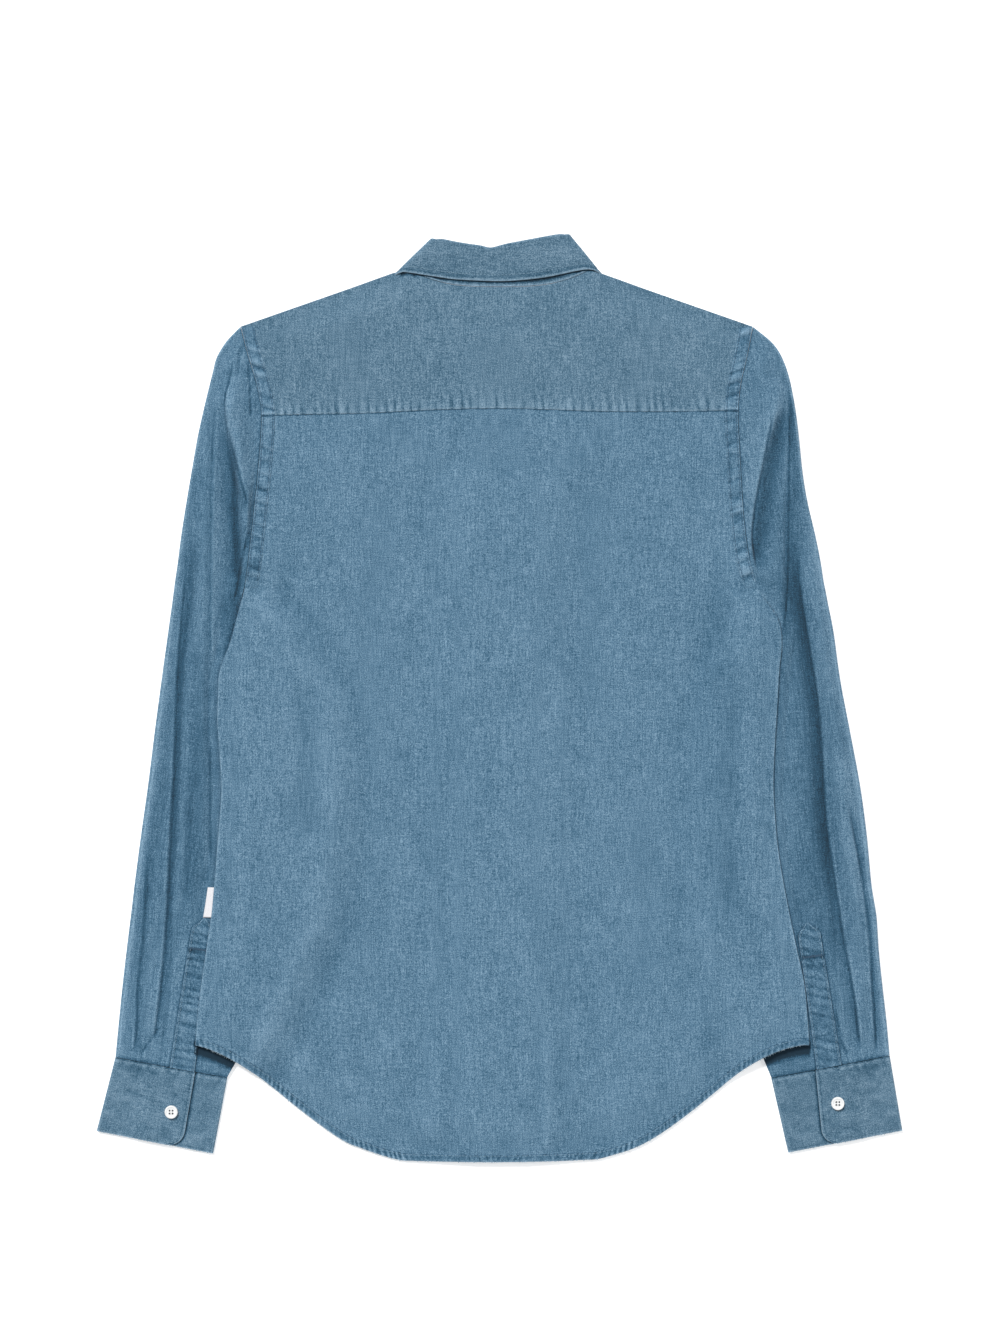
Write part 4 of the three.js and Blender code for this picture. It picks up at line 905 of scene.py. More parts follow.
def build_hem():
    """The narrow rolled hem round the shirt tail, twisted a little so that it puckers slantwise."""
    half = np.linspace(*HEM_ENDS, 520)
    x, d = pairs(half, np.array([0.0, 0.25, 0.6, 1.2, 2.0, 2.8, 3.6, 4.4, 5.2, 5.7, HEM_WIDTH]))
    px, py = beside_hem(x, d)
    limit = half_width(side_of(px), np.maximum(py, HEM_HIGH)) - 0.2
    px = np.clip(px, -limit, limit)
    along = np.cumsum(np.hypot(np.gradient(half), np.gradient(hem_y(half))))[:, None]
    strong = 0.3 + 0.7 * smooth((np.abs(x + 5) - 45) / 35)
    twist = strong * ripple(along - 0.6 * d * side_of(x), 4.6, 52) * (0.75 + 0.25 * noise1(along, 17, 56))
    high = back_surface(px, py) + 0.75 + 0.32 * twist * (0.45 + 0.55 * np.sin(math.pi * d / HEM_WIDTH))
    # The slanting puckers are painted paler and darker as they rise and fall, painted light and shade, and
    # the rolled edge is worn pale
    wear_and_shading = twist + 1.1 * bell(d, 0.9) * (0.7 + 0.5 * twist)
    wear_and_shading = wear_and_shading - 0.5 * bell(HEM_WIDTH - d, 0.8) - 0.4 * bell(d - 3.4, 1.8)
    wear_and_shading = wear_and_shading + 0.4 * noise2(px, py, 1.6, 1.6, 54)
    high = high - rounded(d, 1.0) - rounded(HEM_WIDTH - d, 0.5)
    return layer("back_hem", px, py, back_low(px, py) - 0.12, high, denim, wear_and_shading)


def build_front(side, name):
    centre = BUTTON_STAND if side < 0 else PLACKET_HALF + SEAM
    tip = inside_edge(side, SHOULDER_TIP)
    v, s = pairs(np.linspace(0, 1, 130), lerp(centre, tip, np.linspace(0, 1, 46)))
    share = (s - centre) / (tip - centre)
    x = lerp(centre, inside_edge(side, lerp(SHOULDER_TIP, HEM_HIGH, v)), share)
    head = np.where(np.abs(s) < NECK_HALF + SEAM, neck_front_y(s), shoulder_y(s))
    hem_x = lerp(centre, inside_edge(side, HEM_HIGH), share)
    foot = hem_y(hem_x) + FRONT_SHORTER * smooth((HEM_CORNER - np.abs(hem_x)) / 60)
    y = lerp(head, foot, v)
    low = front_low(x, y)
    wear_and_shading = 0.3 * smooth(1 - (y - foot) / 5) * ripple(x, 7.0, 61)
    return layer(name, x, y, low, low + CLOTH, denim, wear_and_shading)


def build_placket():
    v, x = pairs(np.linspace(0, 1, 200), np.linspace(-PLACKET_HALF, PLACKET_HALF, 21))
    y = lerp(neck_front_y(x) - SEAM, HEM_LOW + FRONT_SHORTER, v)
    edge = PLACKET_HALF - np.abs(x)
    low = PLACKET_LIFT + 0.12 * bell(edge - 4.5, 0.8) + rounded(edge, 0.5)
    wear_and_shading = 0.3 * bell(edge, 1.5)
    return layer("placket_band", x, y, low, np.full(x.shape, PLACKET_LIFT + BAND), denim, wear_and_shading)


# Sleeves
def sleeve_rows(side):
    """Places along a sleeve's table of rows, at steps of a few millimetres."""
    rows = SLEEVES[side]
    step = 3.0
    length = np.r_[0, np.cumsum(np.maximum(np.hypot(*np.diff(rows[:, :2], axis=0).T), step))]
    at = np.interp(np.linspace(0, length[-1], int(length[-1] / step)), length, np.arange(len(rows)))
    return np.unique(np.r_[at, TOWER_ROW, TOWER_ROW + 1])


def sleeve_ends(side, at):
    """A row's outer and inner end, and how far in its slit is."""
    rows = SLEEVES[side]
    ox, oy, slit, hidden_x, iy = (curve(np.arange(len(rows)), column)(at) for column in rows.T)
    ix = np.where(at <= ARMPIT_ROW - 1, half_width(side, iy), hidden_x)
    a = np.stack([side * ox, oy], -1)
    b = np.stack([side * (ix + SEAM * 0.5), iy], -1)
    return a, b, slit


def span(a, b):
    """The length of each row of points."""
    return np.hypot(*(b - a).T)[:, None]


def on_row(a, b, d):
    """Points at some distances along rows."""
    t = d / span(a, b)
    return lerp(a[:, None, 0], b[:, None, 0], t), lerp(a[:, None, 1], b[:, None, 1], t)


def cuff_seam_y(side, x):
    """Where a sleeve meets its cuff."""
    last = SLEEVES[side][-1]
    return np.interp(np.abs(x), [last[3], last[0]], [last[4], last[1]])


def gathers(side, x, y):
    """Short creases in the sleeve head beside the armhole seam, and into the cuff."""
    from_body = beside_body(side, x, y)
    head = smooth((y - ARMPIT - 5) / 30)
    near = 0.3 * ripple(y + 1.3 * from_body, 7.5, 71 + side) * bell(from_body, 9) * head
    above = y - cuff_seam_y(side, x)
    into = 0.16 * ripple(x, 9.5, 75 + side) * bell(above, 16) * (1 - bell(above, 2.0))
    return near + into


def pressed(folds, x, y, *ends):
    """Folds that lie flatter where the sleeve is held down."""
    return fold_height(folds, x, y, *ends) * flatter(y)


def sleeve_surface(side, x, y):
    from_outer = outer_fold[side](y) - np.abs(x)
    from_body = beside_body(side, x, y)
    seen = smooth(from_body / 6) * smooth(from_outer / 7)
    creases = pressed(SLEEVE_CREASES, x, y, 0.12, 0.06)
    fine = creases + fine_creases(SLEEVE_LINES, x, y)[0] + 0.9 * soft(x, y, 81)
    high = sleeve_high(side, x, y) + fine * seen + gathers(side, x, y) * smooth(from_outer / 5)
    # The body's edge rests on the sleeve, so there is only a low step beside it
    rests = smooth((from_body + 9) / 8) * smooth(1 - (from_body - 3) / 12)
    held = smooth((ARMPIT - y) / 12) * smooth((y + 292) / 30)
    high = np.maximum(high, lerp(SLEEVE_TUCKED - 0.6, SLEEVE_LIFT - 0.35, rests * held))
    # Just below the armpit the sleeve runs on into the body without a step
    joined = smooth((y - (6 if side > 0 else 36)) / 50) * smooth((ARMPIT + 6 - y) / 8) * (from_body > 0)
    body = back_low(side * half_width(side, y), y) + CLOTH
    high = high + np.maximum(0, body - high) * joined * bell(from_body, 13)
    return np.maximum(high, 2.3)


def painted_hem_shadow(x, y):
    """Painted shadow of the shirt tail on the sleeve, where the tail covers it and just past its edge."""
    past = hem_y(x) - y
    inside = smooth((half_width(side_of(x), HEM_HIGH) + 1.5 - np.abs(x)) / 2)
    return -3.2 * smooth((11 - past) / 7) * smooth((past + 6) / 4) * inside


def build_sleeve(side, name, material):
    radius = SLEEVE_EDGE / 2
    at = sleeve_rows(side)
    a, b, slit = sleeve_ends(side, at)
    length = span(a, b)
    t = np.linspace(1, 0, 140)[None, :-1]
    d = radius + (length - radius) * t
    x, y = on_row(a, b, d)
    high = sleeve_surface(side, x, y)
    creases = pressed(SLEEVE_CREASES, x, y, 0.12, 0.06)
    folds = pressed(SLEEVE_FOLDS, x, y)
    from_seam = beside_body(side, x, y)
    beside = smooth(from_seam / 8)
    # Painted light and shade: the relief, the creases and the folds make the cloth paler on ridges and
    # darker in valleys, with some fading on the ridges
    worn_and_shaded = 0.2 * relief(high, 0.6) + 0.26 * np.minimum(creases, 0) + 0.12 * np.maximum(creases, 0)
    worn_and_shaded = worn_and_shaded + (0.16 * np.minimum(folds, 0) + 0.03 * np.maximum(folds, 0)) * beside
    # Painted shade where the sleeve runs under the body's edge, and the shirt tail's painted shadow
    worn_and_shaded = worn_and_shaded - 0.15 * (1 - beside) * smooth((ARMPIT - 10 - y) / 20) - 0.06 + painted_hem_shadow(x, y)
    # The fine creases' painted shade, and the sleeves' painted shading from the table
    worn_and_shaded = worn_and_shaded + fine_creases(SLEEVE_LINES, x, y)[1] + fold_height(SLEEVE_PAINTED_SHADING, x, y, 0.15, 0.12)
    worn_and_shaded = worn_and_shaded + 0.5 * bell(d, 5.0) * smooth((ARMPIT + 60 - y) / 40)
    above = y - cuff_seam_y(side, x)
    # A dark line along the cuff's seam, and the gathers painted paler and darker as they rise and fall,
    # painted light and shade
    worn_and_shaded = worn_and_shaded - 0.8 * bell(above, 1.2) + 0.6 * gathers(side, x, y)
    # Painted shade right beside the body's edge below the armpit
    worn_and_shaded = worn_and_shaded - 0.5 * bell(from_seam, 1.3) * smooth((y - ARMPIT) / 12)
    # A painted shadow: a dark line round the pointed placket
    half, point = tower_shape(side, at)
    from_tower = np.abs(d - slit[:, None]) - (half * point)[:, None]
    line = bell(from_tower - 0.3, 0.9) * (at > TOWER_ROW)[:, None]
    worn_and_shaded = worn_and_shaded - 0.8 * line
    out = [np.dstack([x, y, high])]
    inn = [np.dstack([x, y, high - CLOTH])]
    for angle in np.linspace(math.pi / 2, -math.pi / 2, 11):
        for r, into in ((radius, out), (radius - CLOTH, inn)):
            dd = np.full(length.shape, radius - r * math.cos(angle))
            px, py = on_row(a, b, dd)
            into.append(np.dstack([px, py, np.full(px.shape, radius + r * math.sin(angle))]))
    under = radius + (length - radius) * np.linspace(0, 1, 22)[None, 1:]
    px, py = on_row(a, b, under)
    for z, into in ((0.0, out), (CLOTH, inn)):
        into.append(np.dstack([px, py, np.full(px.shape, z)]))
    outer = np.concatenate(out, axis=1)
    wear_and_shading = np.zeros(outer.shape[:2])
    fold = worn_and_shaded.shape[1]
    wear_and_shading[:, :fold] = worn_and_shaded
    wear_and_shading[:, fold - 2 : fold + 9] += 0.3
    return wall(name, outer, np.concatenate(inn, axis=1), material, wear_and_shading)


def tower_shape(side, at):
    """Half the width of the pointed band along a sleeve, and how far its point has opened."""
    share = np.clip((at - TOWER_ROW) / (len(SLEEVES[side]) - 1 - TOWER_ROW), 0, 1)
    return lerp(TOWER_WIDTH, TOWER_END_WIDTH, share) / 2, np.clip(at - TOWER_ROW, 0, 1) ** 0.75


def tower(side, across):
    """Points of the pointed band along a sleeve's slit: rows along it, and where they are across it."""
    last = len(SLEEVES[side]) - 1
    at = np.unique(np.r_[np.linspace(TOWER_ROW, TOWER_ROW + 1, 9), np.linspace(TOWER_ROW + 1, last, 110)])
    a, b, slit = sleeve_ends(side, at)
    half = lerp(TOWER_TIP / 2, *tower_shape(side, at))
    d = slit[:, None] + half[:, None] * across[None, :]
    x, y = on_row(a, b, d)
    return x, y, at, half[:, None]


def build_tower(side, name, material):
    across = np.array([-1, -0.975, -0.93, *np.linspace(-0.85, 0.85, 15), 0.93, 0.975, 1])
    x, y, at, half = tower(side, across)
    edge = (1 - np.abs(across))[None, :] * half
    from_tip = (at - TOWER_ROW)[:, None] * 9.0
    base = sleeve_surface(side, x, y) + SEAM
    pucker = 0.16 * pleats(y + 0.2 * x, 7.5, 91 + side) + 0.1 * ripple(y + x, 5.0, 95)
    pucker = pucker + 0.1 * noise2(x, y, 4, 3, 97)
    groove = -0.25 * bell(edge - 1.6, 0.6)
    high = base + CLOTH + pucker + groove
    # The puckers are painted paler and darker as they rise and fall, painted light and shade, the edges are
    # worn pale, and the tail's painted shadow is added where it reaches
    wear_and_shading = 2.6 * pucker + 2.6 * groove + 0.6 * bell(edge, 0.7) - 0.3 + painted_hem_shadow(x, y)
    # Bars across it close the slit, and the cloth is darker along them
    past_bar = y + TOWER_BAR[side]
    bars = bell(past_bar, 1.5) + 0.4 * bell(past_bar + 7, 1.2)
    wear_and_shading = wear_and_shading - 2.2 * bars * (0.7 + 0.3 * noise1(x, 2.0, 99))
    high = high - rounded(np.minimum(edge, from_tip + 0.2), 0.5)
    return layer(name, x, y, base - 0.2, high, material, wear_and_shading)


# Cuffs
def cuff_line(corners, b):
    """Ends of a line across a cuff, at a share of its depth."""
    return [lerp(*np.array(corners[end], float), np.asarray(b)[:, None]) for end in ("outer", "inner")]


def overlap_end(corners, b):
    into = CUFF_CORNER - np.clip((1 - b) * CUFF_DEPTH, 0, CUFF_CORNER)
    cut = CUFF_CORNER - np.sqrt(np.maximum(0, CUFF_CORNER**2 - into**2))
    return (corners["overlap"] + corners["grows"] * b) * CUFF_WIDTH - cut


def cuff_top(share):
    return lerp(CUFF_LOW, CUFF_HIGH, smooth((share - 0.2) / 0.24))


def cuff_relief(d, b, seed):
    """Slight unevenness of a cuff, and the grooves of its seams."""
    down = b * CUFF_DEPTH
    z = 0.13 * noise2(d, down, 9, 5, seed) + 0.07 * noise2(d, down, 3, 2.4, seed + 2)
    z = z + 0.2 * ripple(d + 0.3 * down, 7.5, seed + 4) * bell(down, 8)
    z = z + 0.12 * ripple(d, 5.5, seed + 6) * bell(CUFF_DEPTH - down, 5)
    for place in (1.8, CUFF_DEPTH - 1.6):
        z = z - 0.2 * bell(down - place, 0.6)
    return z


def build_cuff(key, name, material):
    corners = CUFFS[key]
    radius = CUFF_LOW / 2
    b = np.r_[0, 0.004, 0.01, np.arange(0.02, 0.78, 0.02), np.arange(0.78, 0.99, 0.01), 0.99, 0.996, 1.0]
    a, e = cuff_line(corners, b)
    length = span(a, e)
    bb = b[:, None]
    edge = np.minimum(bb, 1 - bb) * CUFF_DEPTH
    outer, inner, wear_and_shading_rows = [], [], []

    def put(d_out, z_out, d_in, z_in, worn_and_shaded):
        for d, z, into in ((d_out, z_out, outer), (d_in, z_in, inner)):
            x, y = on_row(a, e, np.broadcast_to(d, (len(b), d.shape[1])))
            into.append(np.dstack([x, y, np.broadcast_to(z, x.shape)]))
        wear_and_shading_rows.append(np.broadcast_to(worn_and_shaded, x.shape))

    bottom, top = (1 - bb) * CUFF_DEPTH, bb * CUFF_DEPTH
    uneven = 0.75 + 0.5 * noise1(np.arange(240.0)[None, :], 2.0, 141)
    worn_edge = 1.3 * bell(bottom, 0.9) - 0.9 * bell(top, 0.8)
    worn_edge = worn_edge + 0.6 * bell(top - 2.2, 0.8)
    overlap = overlap_end(corners, b)[:, None]
    d = lerp(0.5 * length, length - radius, np.linspace(0, 1, 62)[None, :-1])
    rough = cuff_relief(d, bb, 101)
    shadow = -1.3 * bell(d - overlap - 0.5, 1.2) * (d > overlap - 1)
    smudge = -0.5 * np.maximum(0, noise2(d, top, 6, 7, 103)) * bell(top, 18)
    # Painted light and shade: the cuff's unevenness and seam grooves are painted paler and darker with it,
    # and the overlap's painted shadow darkens the layer beside it
    worn_and_shaded = worn_edge * uneven[:, : d.shape[1]] + 1.9 * rough + shadow + smudge
    put(d, CUFF_LOW + rough - rounded(edge, 0.5), d, CUFF_LOW - BAND, worn_and_shaded)

    def bend(angles, far):
        for angle in angles:
            place = []
            for r in (radius, radius - BAND):
                out = radius - r * math.cos(angle)
                place.append(length - out if far else np.full(length.shape, out))
                place.append(radius + r * math.sin(angle))
            put(*place, 0.25 + worn_edge)

    bend(np.linspace(math.pi / 2, -math.pi / 2, 9), True)
    d = lerp(length - radius, radius, np.linspace(0, 1, 24)[None, 1:-1])
    put(d, 0.0, d, BAND, worn_edge)
    bend(np.linspace(-math.pi / 2, math.pi / 2, 9), False)
    t = np.r_[np.linspace(0, 0.985, 66)[1:], 0.99, 0.996, 1.0][None, :]
    d = lerp(radius, overlap, t)
    short = overlap - d
    rough = cuff_relief(d, bb, 111) - 0.2 * bell(short - 1.8, 0.6)
    z = cuff_top(d / length) + rough
    lip = np.minimum(edge, short)
    smudge = -0.6 * np.maximum(0, noise2(d, top, 6, 7, 113)) * bell(top, 18)
    # The same painted light and shade on the overlap, with a worn pale edge
    worn_and_shaded = bell(short, 0.8) * uneven[:, : d.shape[1]] + 1.9 * rough + smudge
    worn_and_shaded = worn_and_shaded - 0.35 * bell(short - 2.6, 0.7) + worn_edge * uneven[:, : d.shape[1]]
    put(d, z - rounded(lip, 0.5), d, cuff_top(d / length) - BAND, worn_and_shaded)
    return wall(name, np.concatenate(outer, 1), np.concatenate(inner, 1), material, np.concatenate(wear_and_shading_rows, 1))


# Collar
fold_y = curve(*zip(*FOLD_LINE))
leaf_edge = curve(*zip(*LEAF_EDGE))
LEAST = math.radians(-8)


def leaf_side(side):
    half, tip, tip_y = LEAF_ENDS[side]
    fold = np.array([side * half, float(fold_y(side * half))])
    edge = np.array([side * tip, tip_y])
    out = np.array([side * (fold[1] - edge[1]), tip - half])
    out = out / np.linalg.norm(out) * LEAF_TOP / 2
    return fold - out, edge - out


def leaf_corner(side):
    """Where the collar's layers meet its turned side, which is cut off aslant."""
    a, b = leaf_side(side)
    return a, b + (a - b) / np.linalg.norm(a - b) * LEAF_SLANT


def leaf_front(side, angle):
    fold, edge = leaf_corner(side)
    t = (angle - LEAST) / (math.pi / 2 - LEAST)
    turn = lerp(math.asin(LEAF_OPENING / abs(fold[0])), math.pi / 2, t)
    reach = lerp(COLLAR_POINT_X, abs(edge[0]), t) + 4 * math.sin(t * math.pi)
    a = np.array([fold[0] * math.sin(turn), fold[1] - (fold[1] - FRONT_FOLD) * math.cos(turn)])
    return a, np.array([side * reach, lerp(COLLAR_POINT_Y, edge[1], t)])


def leaf_back(x):
    (lf, le), (rf, re) = leaf_corner(-1), leaf_corner(1)
    share = (x + NECK_HALF) / (2 * NECK_HALF)
    fx = lerp(lf[0], rf[0], share)
    end = lerp(lf[1] - float(fold_y(lf[0])), rf[1] - float(fold_y(rf[0])), share)
    near = abs(2 * share - 1) ** 8
    ex = lerp(le[0], re[0], share)
    ease = smooth((1 - abs(2 * share - 1)) / 0.06)
    ey = lerp((le if x < 0 else re)[1], float(leaf_edge(ex)), ease)
    return np.array([fx, float(fold_y(fx)) - FOLD_ROUND + (end + FOLD_ROUND) * near]), np.array([ex, ey])


def stand_side(side):
    return np.array([side * STAND_FOLD_HALF, STAND_FOLD_SIDE]), np.array([side * NECK_HALF, NECK_SIDE])


def stand_front(side, angle):
    s, c = math.sin(angle), math.cos(angle)
    a = np.array([side * STAND_FOLD_HALF * s, STAND_FOLD_SIDE - STAND_DROP * c])
    return a, np.array([side * NECK_HALF * s, NECK_SIDE - NECK_DROP * c])


def stand_back(x):
    fx = STAND_FOLD_HALF * x / NECK_HALF
    inside = float(fold_y(fx)) - FOLD_ROUND - STAND_SHORT
    near = abs(x / NECK_HALF) ** 6
    return np.array([fx, lerp(inside, STAND_FOLD_SIDE, near)]), np.array([x, float(neck_back_y(x)) + SEAM])


def collar_ring(name, front, back, side_line, slant, low, high, thickness, lip, rise, across, stitch, painted_shade_from):
    """A ring of cloth round the neck that turns over at both sides.

    Each station runs from its free edge to its fold.
    """
    radius = (high - low) / 2
    up = np.array([0, 0, 1.0])
    stations = []
    angles = np.linspace(LEAST, math.pi / 2, 40)[:-1]

    def turned(side, turns):
        a, b = side_line(side)
        out = np.array([side * abs(a[1] - b[1]), abs(b[0] - a[0]), 0.0])
        out /= np.linalg.norm(out)
        up_line = (a - b) / np.linalg.norm(a - b)
        for t in turns:
            start = a - up_line * 0.25 * slant * math.cos(t)
            end = b + up_line * slant * (1 - math.cos(t))
            stations.append((start, end, low + radius, out * math.cos(t) + up * math.sin(t), radius))

    for angle in angles:
        stations.append((*front(-1, angle), low + rise(-1, angle), -up, 0.0))
    turned(-1, np.linspace(-math.pi / 2, math.pi / 2, 11))
    for x in np.linspace(-NECK_HALF, NECK_HALF, 92)[1:-1]:
        stations.append((*back(x), high, up, 0.0))
    turned(1, np.linspace(math.pi / 2, -math.pi / 2, 11))
    for angle in angles[::-1]:
        stations.append((*front(1, angle), low + rise(1, angle), -up, 0.0))
    outer, inner, wear_and_shading = [], [], []
    run = 0.0
    before = None
    for a, b, z, normal, turn in stations:
        fold3 = np.array([*a, z]) + normal * turn
        edge3 = np.array([*b, z]) + normal * turn
        depth = np.linalg.norm(fold3 - edge3)
        along = (fold3 - edge3) / depth
        if before is not None:
            run += np.linalg.norm(fold3 - before)
        before = fold3
        d = across * depth
        rough = 0.09 * ripple(run * 1.1, 6.0, 121) * bell(d, 6)
        rough = rough + 0.08 * noise1(d + 3 * math.sin(run / 14), 8, 123) + 0.1 * noise1(run, 13, 124)
        rough = rough - 0.25 * bell(d - stitch, 0.6)
        fall = rounded(d, 0.55)
        row = edge3 + along * d[:, None] + normal * (rough - fall)[:, None]
        row_in = edge3 + along * d[:, None] - normal * thickness
        bend, bend_in = [], []
        if lip:
            for t in (math.pi / 3, math.pi / 6, 0.0):
                for r, into in ((lip[0], bend), (lip[0] - thickness, bend_in)):
                    into.append(fold3 + normal * (r * math.sin(t) - lip[0]) + along * r * math.cos(t))
            for into in (bend, bend_in):
                into.append(into[-1] + normal * (lip[0] - lip[1]))
        outer.append(np.concatenate([row, np.array(bend).reshape(-1, 3)]))
        inner.append(np.concatenate([row_in, np.array(bend_in).reshape(-1, 3)]))
        # A pale worn edge with a dark line just in from it, and the unevenness painted paler and darker with
        # it, painted light and shade
        worn_and_shaded = 1.2 * bell(d, 1.2) - 0.7 * bell(d - 3.0, 0.8) + 1.5 * rough
        # Painted shade over the part of each station that lies under the collar's edge
        worn_and_shaded = worn_and_shaded - 3.0 * smooth((d - painted_shade_from(b)) / 1.0)
        wear_and_shading.append(np.r_[worn_and_shaded, np.full(len(bend), 0.3)])
    return wall(name, np.array(outer), np.array(inner), denim_collar, np.array(wear_and_shading))


def build_collar():
    across = np.array([0, 0.008, 0.02, *np.linspace(0.045, 1, 26)])
    lip = (FOLD_ROUND, BAND + SEAM + CLOTH)
    leaf = collar_ring("collar_leaf_cloth", leaf_front, leaf_back, leaf_side, LEAF_SLANT, 0.0,
                       LEAF_TOP, BAND, lip, lambda side, angle: 0.0, across, 5.0, lambda b: 1000.0)

    def rise(side, angle):
        x = side * NECK_HALF * math.sin(angle)
        return float(max(centre_lift(x), NECK_LIFT) - NECK_LIFT) if side < 0 else 0.0

    across = np.array([0, 0.012, 0.03, *np.linspace(0.08, 1, 14)])
    # The stand is painted in shade where the collar's edge covers it
    stand = collar_ring("collar_stand_cloth", stand_front, stand_back, stand_side, 0.0, STAND_BOTTOM,
                        STAND_TOP, CLOTH, None, rise, across, 1.8,
                        lambda b: float(leaf_edge(b[0])) - b[1] - 1.3)
    return leaf, stand


# Buttons and label
def build_button(name, place, down=False):
    radii = np.r_[np.linspace(0, 3.6, 25), np.linspace(3.75, BUTTON_RADIUS, 9)]
    turns = np.linspace(0, 2 * math.pi, 57)[:-1]
    r, t = pairs(radii, turns)
    x, y = r * np.cos(t), r * np.sin(t)
    dish = 0.35 * smooth(1 - (r - 3.2) / 0.8)
    edge = rounded(BUTTON_RADIUS - r, 0.55)
    top = BUTTON_HEIGHT - dish - edge
    # Each hole is marked for the painted shade that darkens it
    hole = np.zeros(r.shape)
    for hx, hy in BUTTON_HOLES:
        away = np.hypot(x - hx, y - hy)
        top = top - 0.9 * smooth((0.8 - away) / 0.18)
        hole = np.maximum(hole, smooth((0.85 - away) / 0.2))
    low = 0.25 * smooth((r - 4.2) / 1.0)
    n = len(turns)
    points = np.concatenate([np.dstack([x, y, z]).reshape(-1, 3) for z in (top, low)])
    faces = []
    half = r.size
    rings = [(j, (j + 1) % n) for j in range(n)]
    for i in range(len(radii) - 1):
        for j, k in rings:
            a, b, c, d = i * n + j, (i + 1) * n + j, (i + 1) * n + k, i * n + k
            if i == 0:
                faces += [(0, b, c), (half, half + c, half + b)]
            else:
                faces += [(a, b, c, d), (half + a, half + d, half + c, half + b)]
    rim = (len(radii) - 1) * n
    faces += [(rim + j, half + rim + j, half + rim + k, rim + k) for j, k in rings]
    # The middle's points are one and the same, so only the first is kept
    keep = np.ones(len(points), bool)
    keep[1:n] = False
    keep[half + 1 : half + n] = False
    number = np.cumsum(keep) - 1
    faces = [tuple(int(number[v]) for v in f) for f in faces]
    points = points[keep]
    holes = np.r_[hole.ravel(), hole.ravel() * 0][keep]
    if down:
        points = points * (1, -1, -1)
    return make(name, points + np.array(place), faces, pearl, 0.9, {"hole": holes})


def capsules(name, starts, ends, width, height, material):
    """Stitches: one small rounded bar from each start to each end."""
    starts, ends = np.asarray(starts, float), np.asarray(ends, float)
    run = ends - starts
    length = np.linalg.norm(run, axis=1, keepdims=True)
    along = run / length
    side = np.cross((0.0, 0.0, 1.0), along)
    side /= np.linalg.norm(side, axis=1, keepdims=True)
    up = np.cross(along, side)
    shape = [(0.0, 0.35), (0.18, 0.9), (0.5, 1.0), (0.82, 0.9), (1.0, 0.35)]
    ring = [(math.cos(t), math.sin(t)) for t in np.arange(6) * math.pi / 3]
    points = []
    for share, size in shape:
        for c, s in ring:
            aside = side * (c * size * width / 2)
            points.append(starts + run * share + aside + up * (s * size * height / 2))
    points = np.stack(points, 1)
    n, count = len(ring), points.shape[1]
    corners = [(k * n + j, k * n + (j + 1) % n) for k in range(len(shape) - 1) for j in range(n)]
    bar = np.array([(a, b, b + n, a + n) for a, b in corners])
    caps = np.array([range(n)[::-1], range(count - n, count)])
    faces = []
    for i in range(len(points)):
        faces += (bar + i * count).tolist() + (caps + i * count).tolist()
    return make(name, points.reshape(-1, 3), faces, material, 1.2, {})


def tree_of(*objects):
    """A search tree over some pieces, for laying stitches on them."""
    points, faces = [], []
    for obj in objects:
        start = len(points)
        points += [v.co.copy() for v in obj.data.vertices]
        faces += [[start + i for i in f.vertices] for f in obj.data.polygons]
    return BVHTree.FromPolygons(points, faces)


def laid(tree, x, y, below=False):
    """Where points in plan meet the pieces from above, or from below."""
    start, way = (-0.05, 1.0) if below else (0.05, -1.0)
    found = []
    for px, py in zip(np.ravel(x), np.ravel(y)):
        hit = tree.ray_cast(Vector((px * METRE, py * METRE, start)), Vector((0, 0, way)))[0]
        found.append(np.nan if hit is None else hit.z * 1000)
    return np.array(found)


def point_at(p, s, v):
    """Points of a path at some lengths along it."""
    return np.c_[np.interp(v, s, p[:, 0]), np.interp(v, s, p[:, 1])]


def along_path(p, pitch, gap):
    """Starts and ends of stitches along a path in plan."""
    s = run_of(p)
    count = max(1, int(s[-1] / pitch))
    first = np.arange(count) * s[-1] / count
    return point_at(p, s, first), point_at(p, s, first + s[-1] / count - gap)


def stitches(name, tree, paths, material, pitch=2.8, gap=0.7, width=0.5, below=False):
    """Rows of stitches sunk halfway into the cloth."""
    a, b = (np.concatenate(ends) for ends in zip(*(along_path(path, pitch, gap) for path in paths)))
    za, zb = laid(tree, *a.T, below), laid(tree, *b.T, below)
    good = ~(np.isnan(za) | np.isnan(zb)) & (np.abs(za - zb) < 1.2)
    out = -0.06 if below else 0.06
    return capsules(name, np.c_[a, za + out][good], np.c_[b, zb + out][good], width, 0.34, material)


def fray(name, tree, p, count, seed):
    """Short broken yarns that stand out to the right of a path along a worn edge."""
    rng = np.random.default_rng(seed)
    s = run_of(p)
    at = np.sort(rng.uniform(0.5, s[-1] - 0.5, count))
    base = point_at(p, s, at)
    ahead = point_at(p, s, at + 0.5) - base
    ahead /= np.linalg.norm(ahead, axis=1, keepdims=True)
    out = np.c_[ahead[:, 1], -ahead[:, 0]]
    start = base - out * 0.7
    end = base + out * rng.uniform(0.3, 1.1, (count, 1)) + ahead * rng.uniform(-0.8, 0.8, (count, 1))
    z = laid(tree, *start.T) - 0.1
    drop = rng.uniform(0.2, 0.8, count)
    good = ~np.isnan(z)
    return capsules(name, np.c_[start, z][good], np.c_[end, z - drop][good], 0.24, 0.2, broken_yarn)


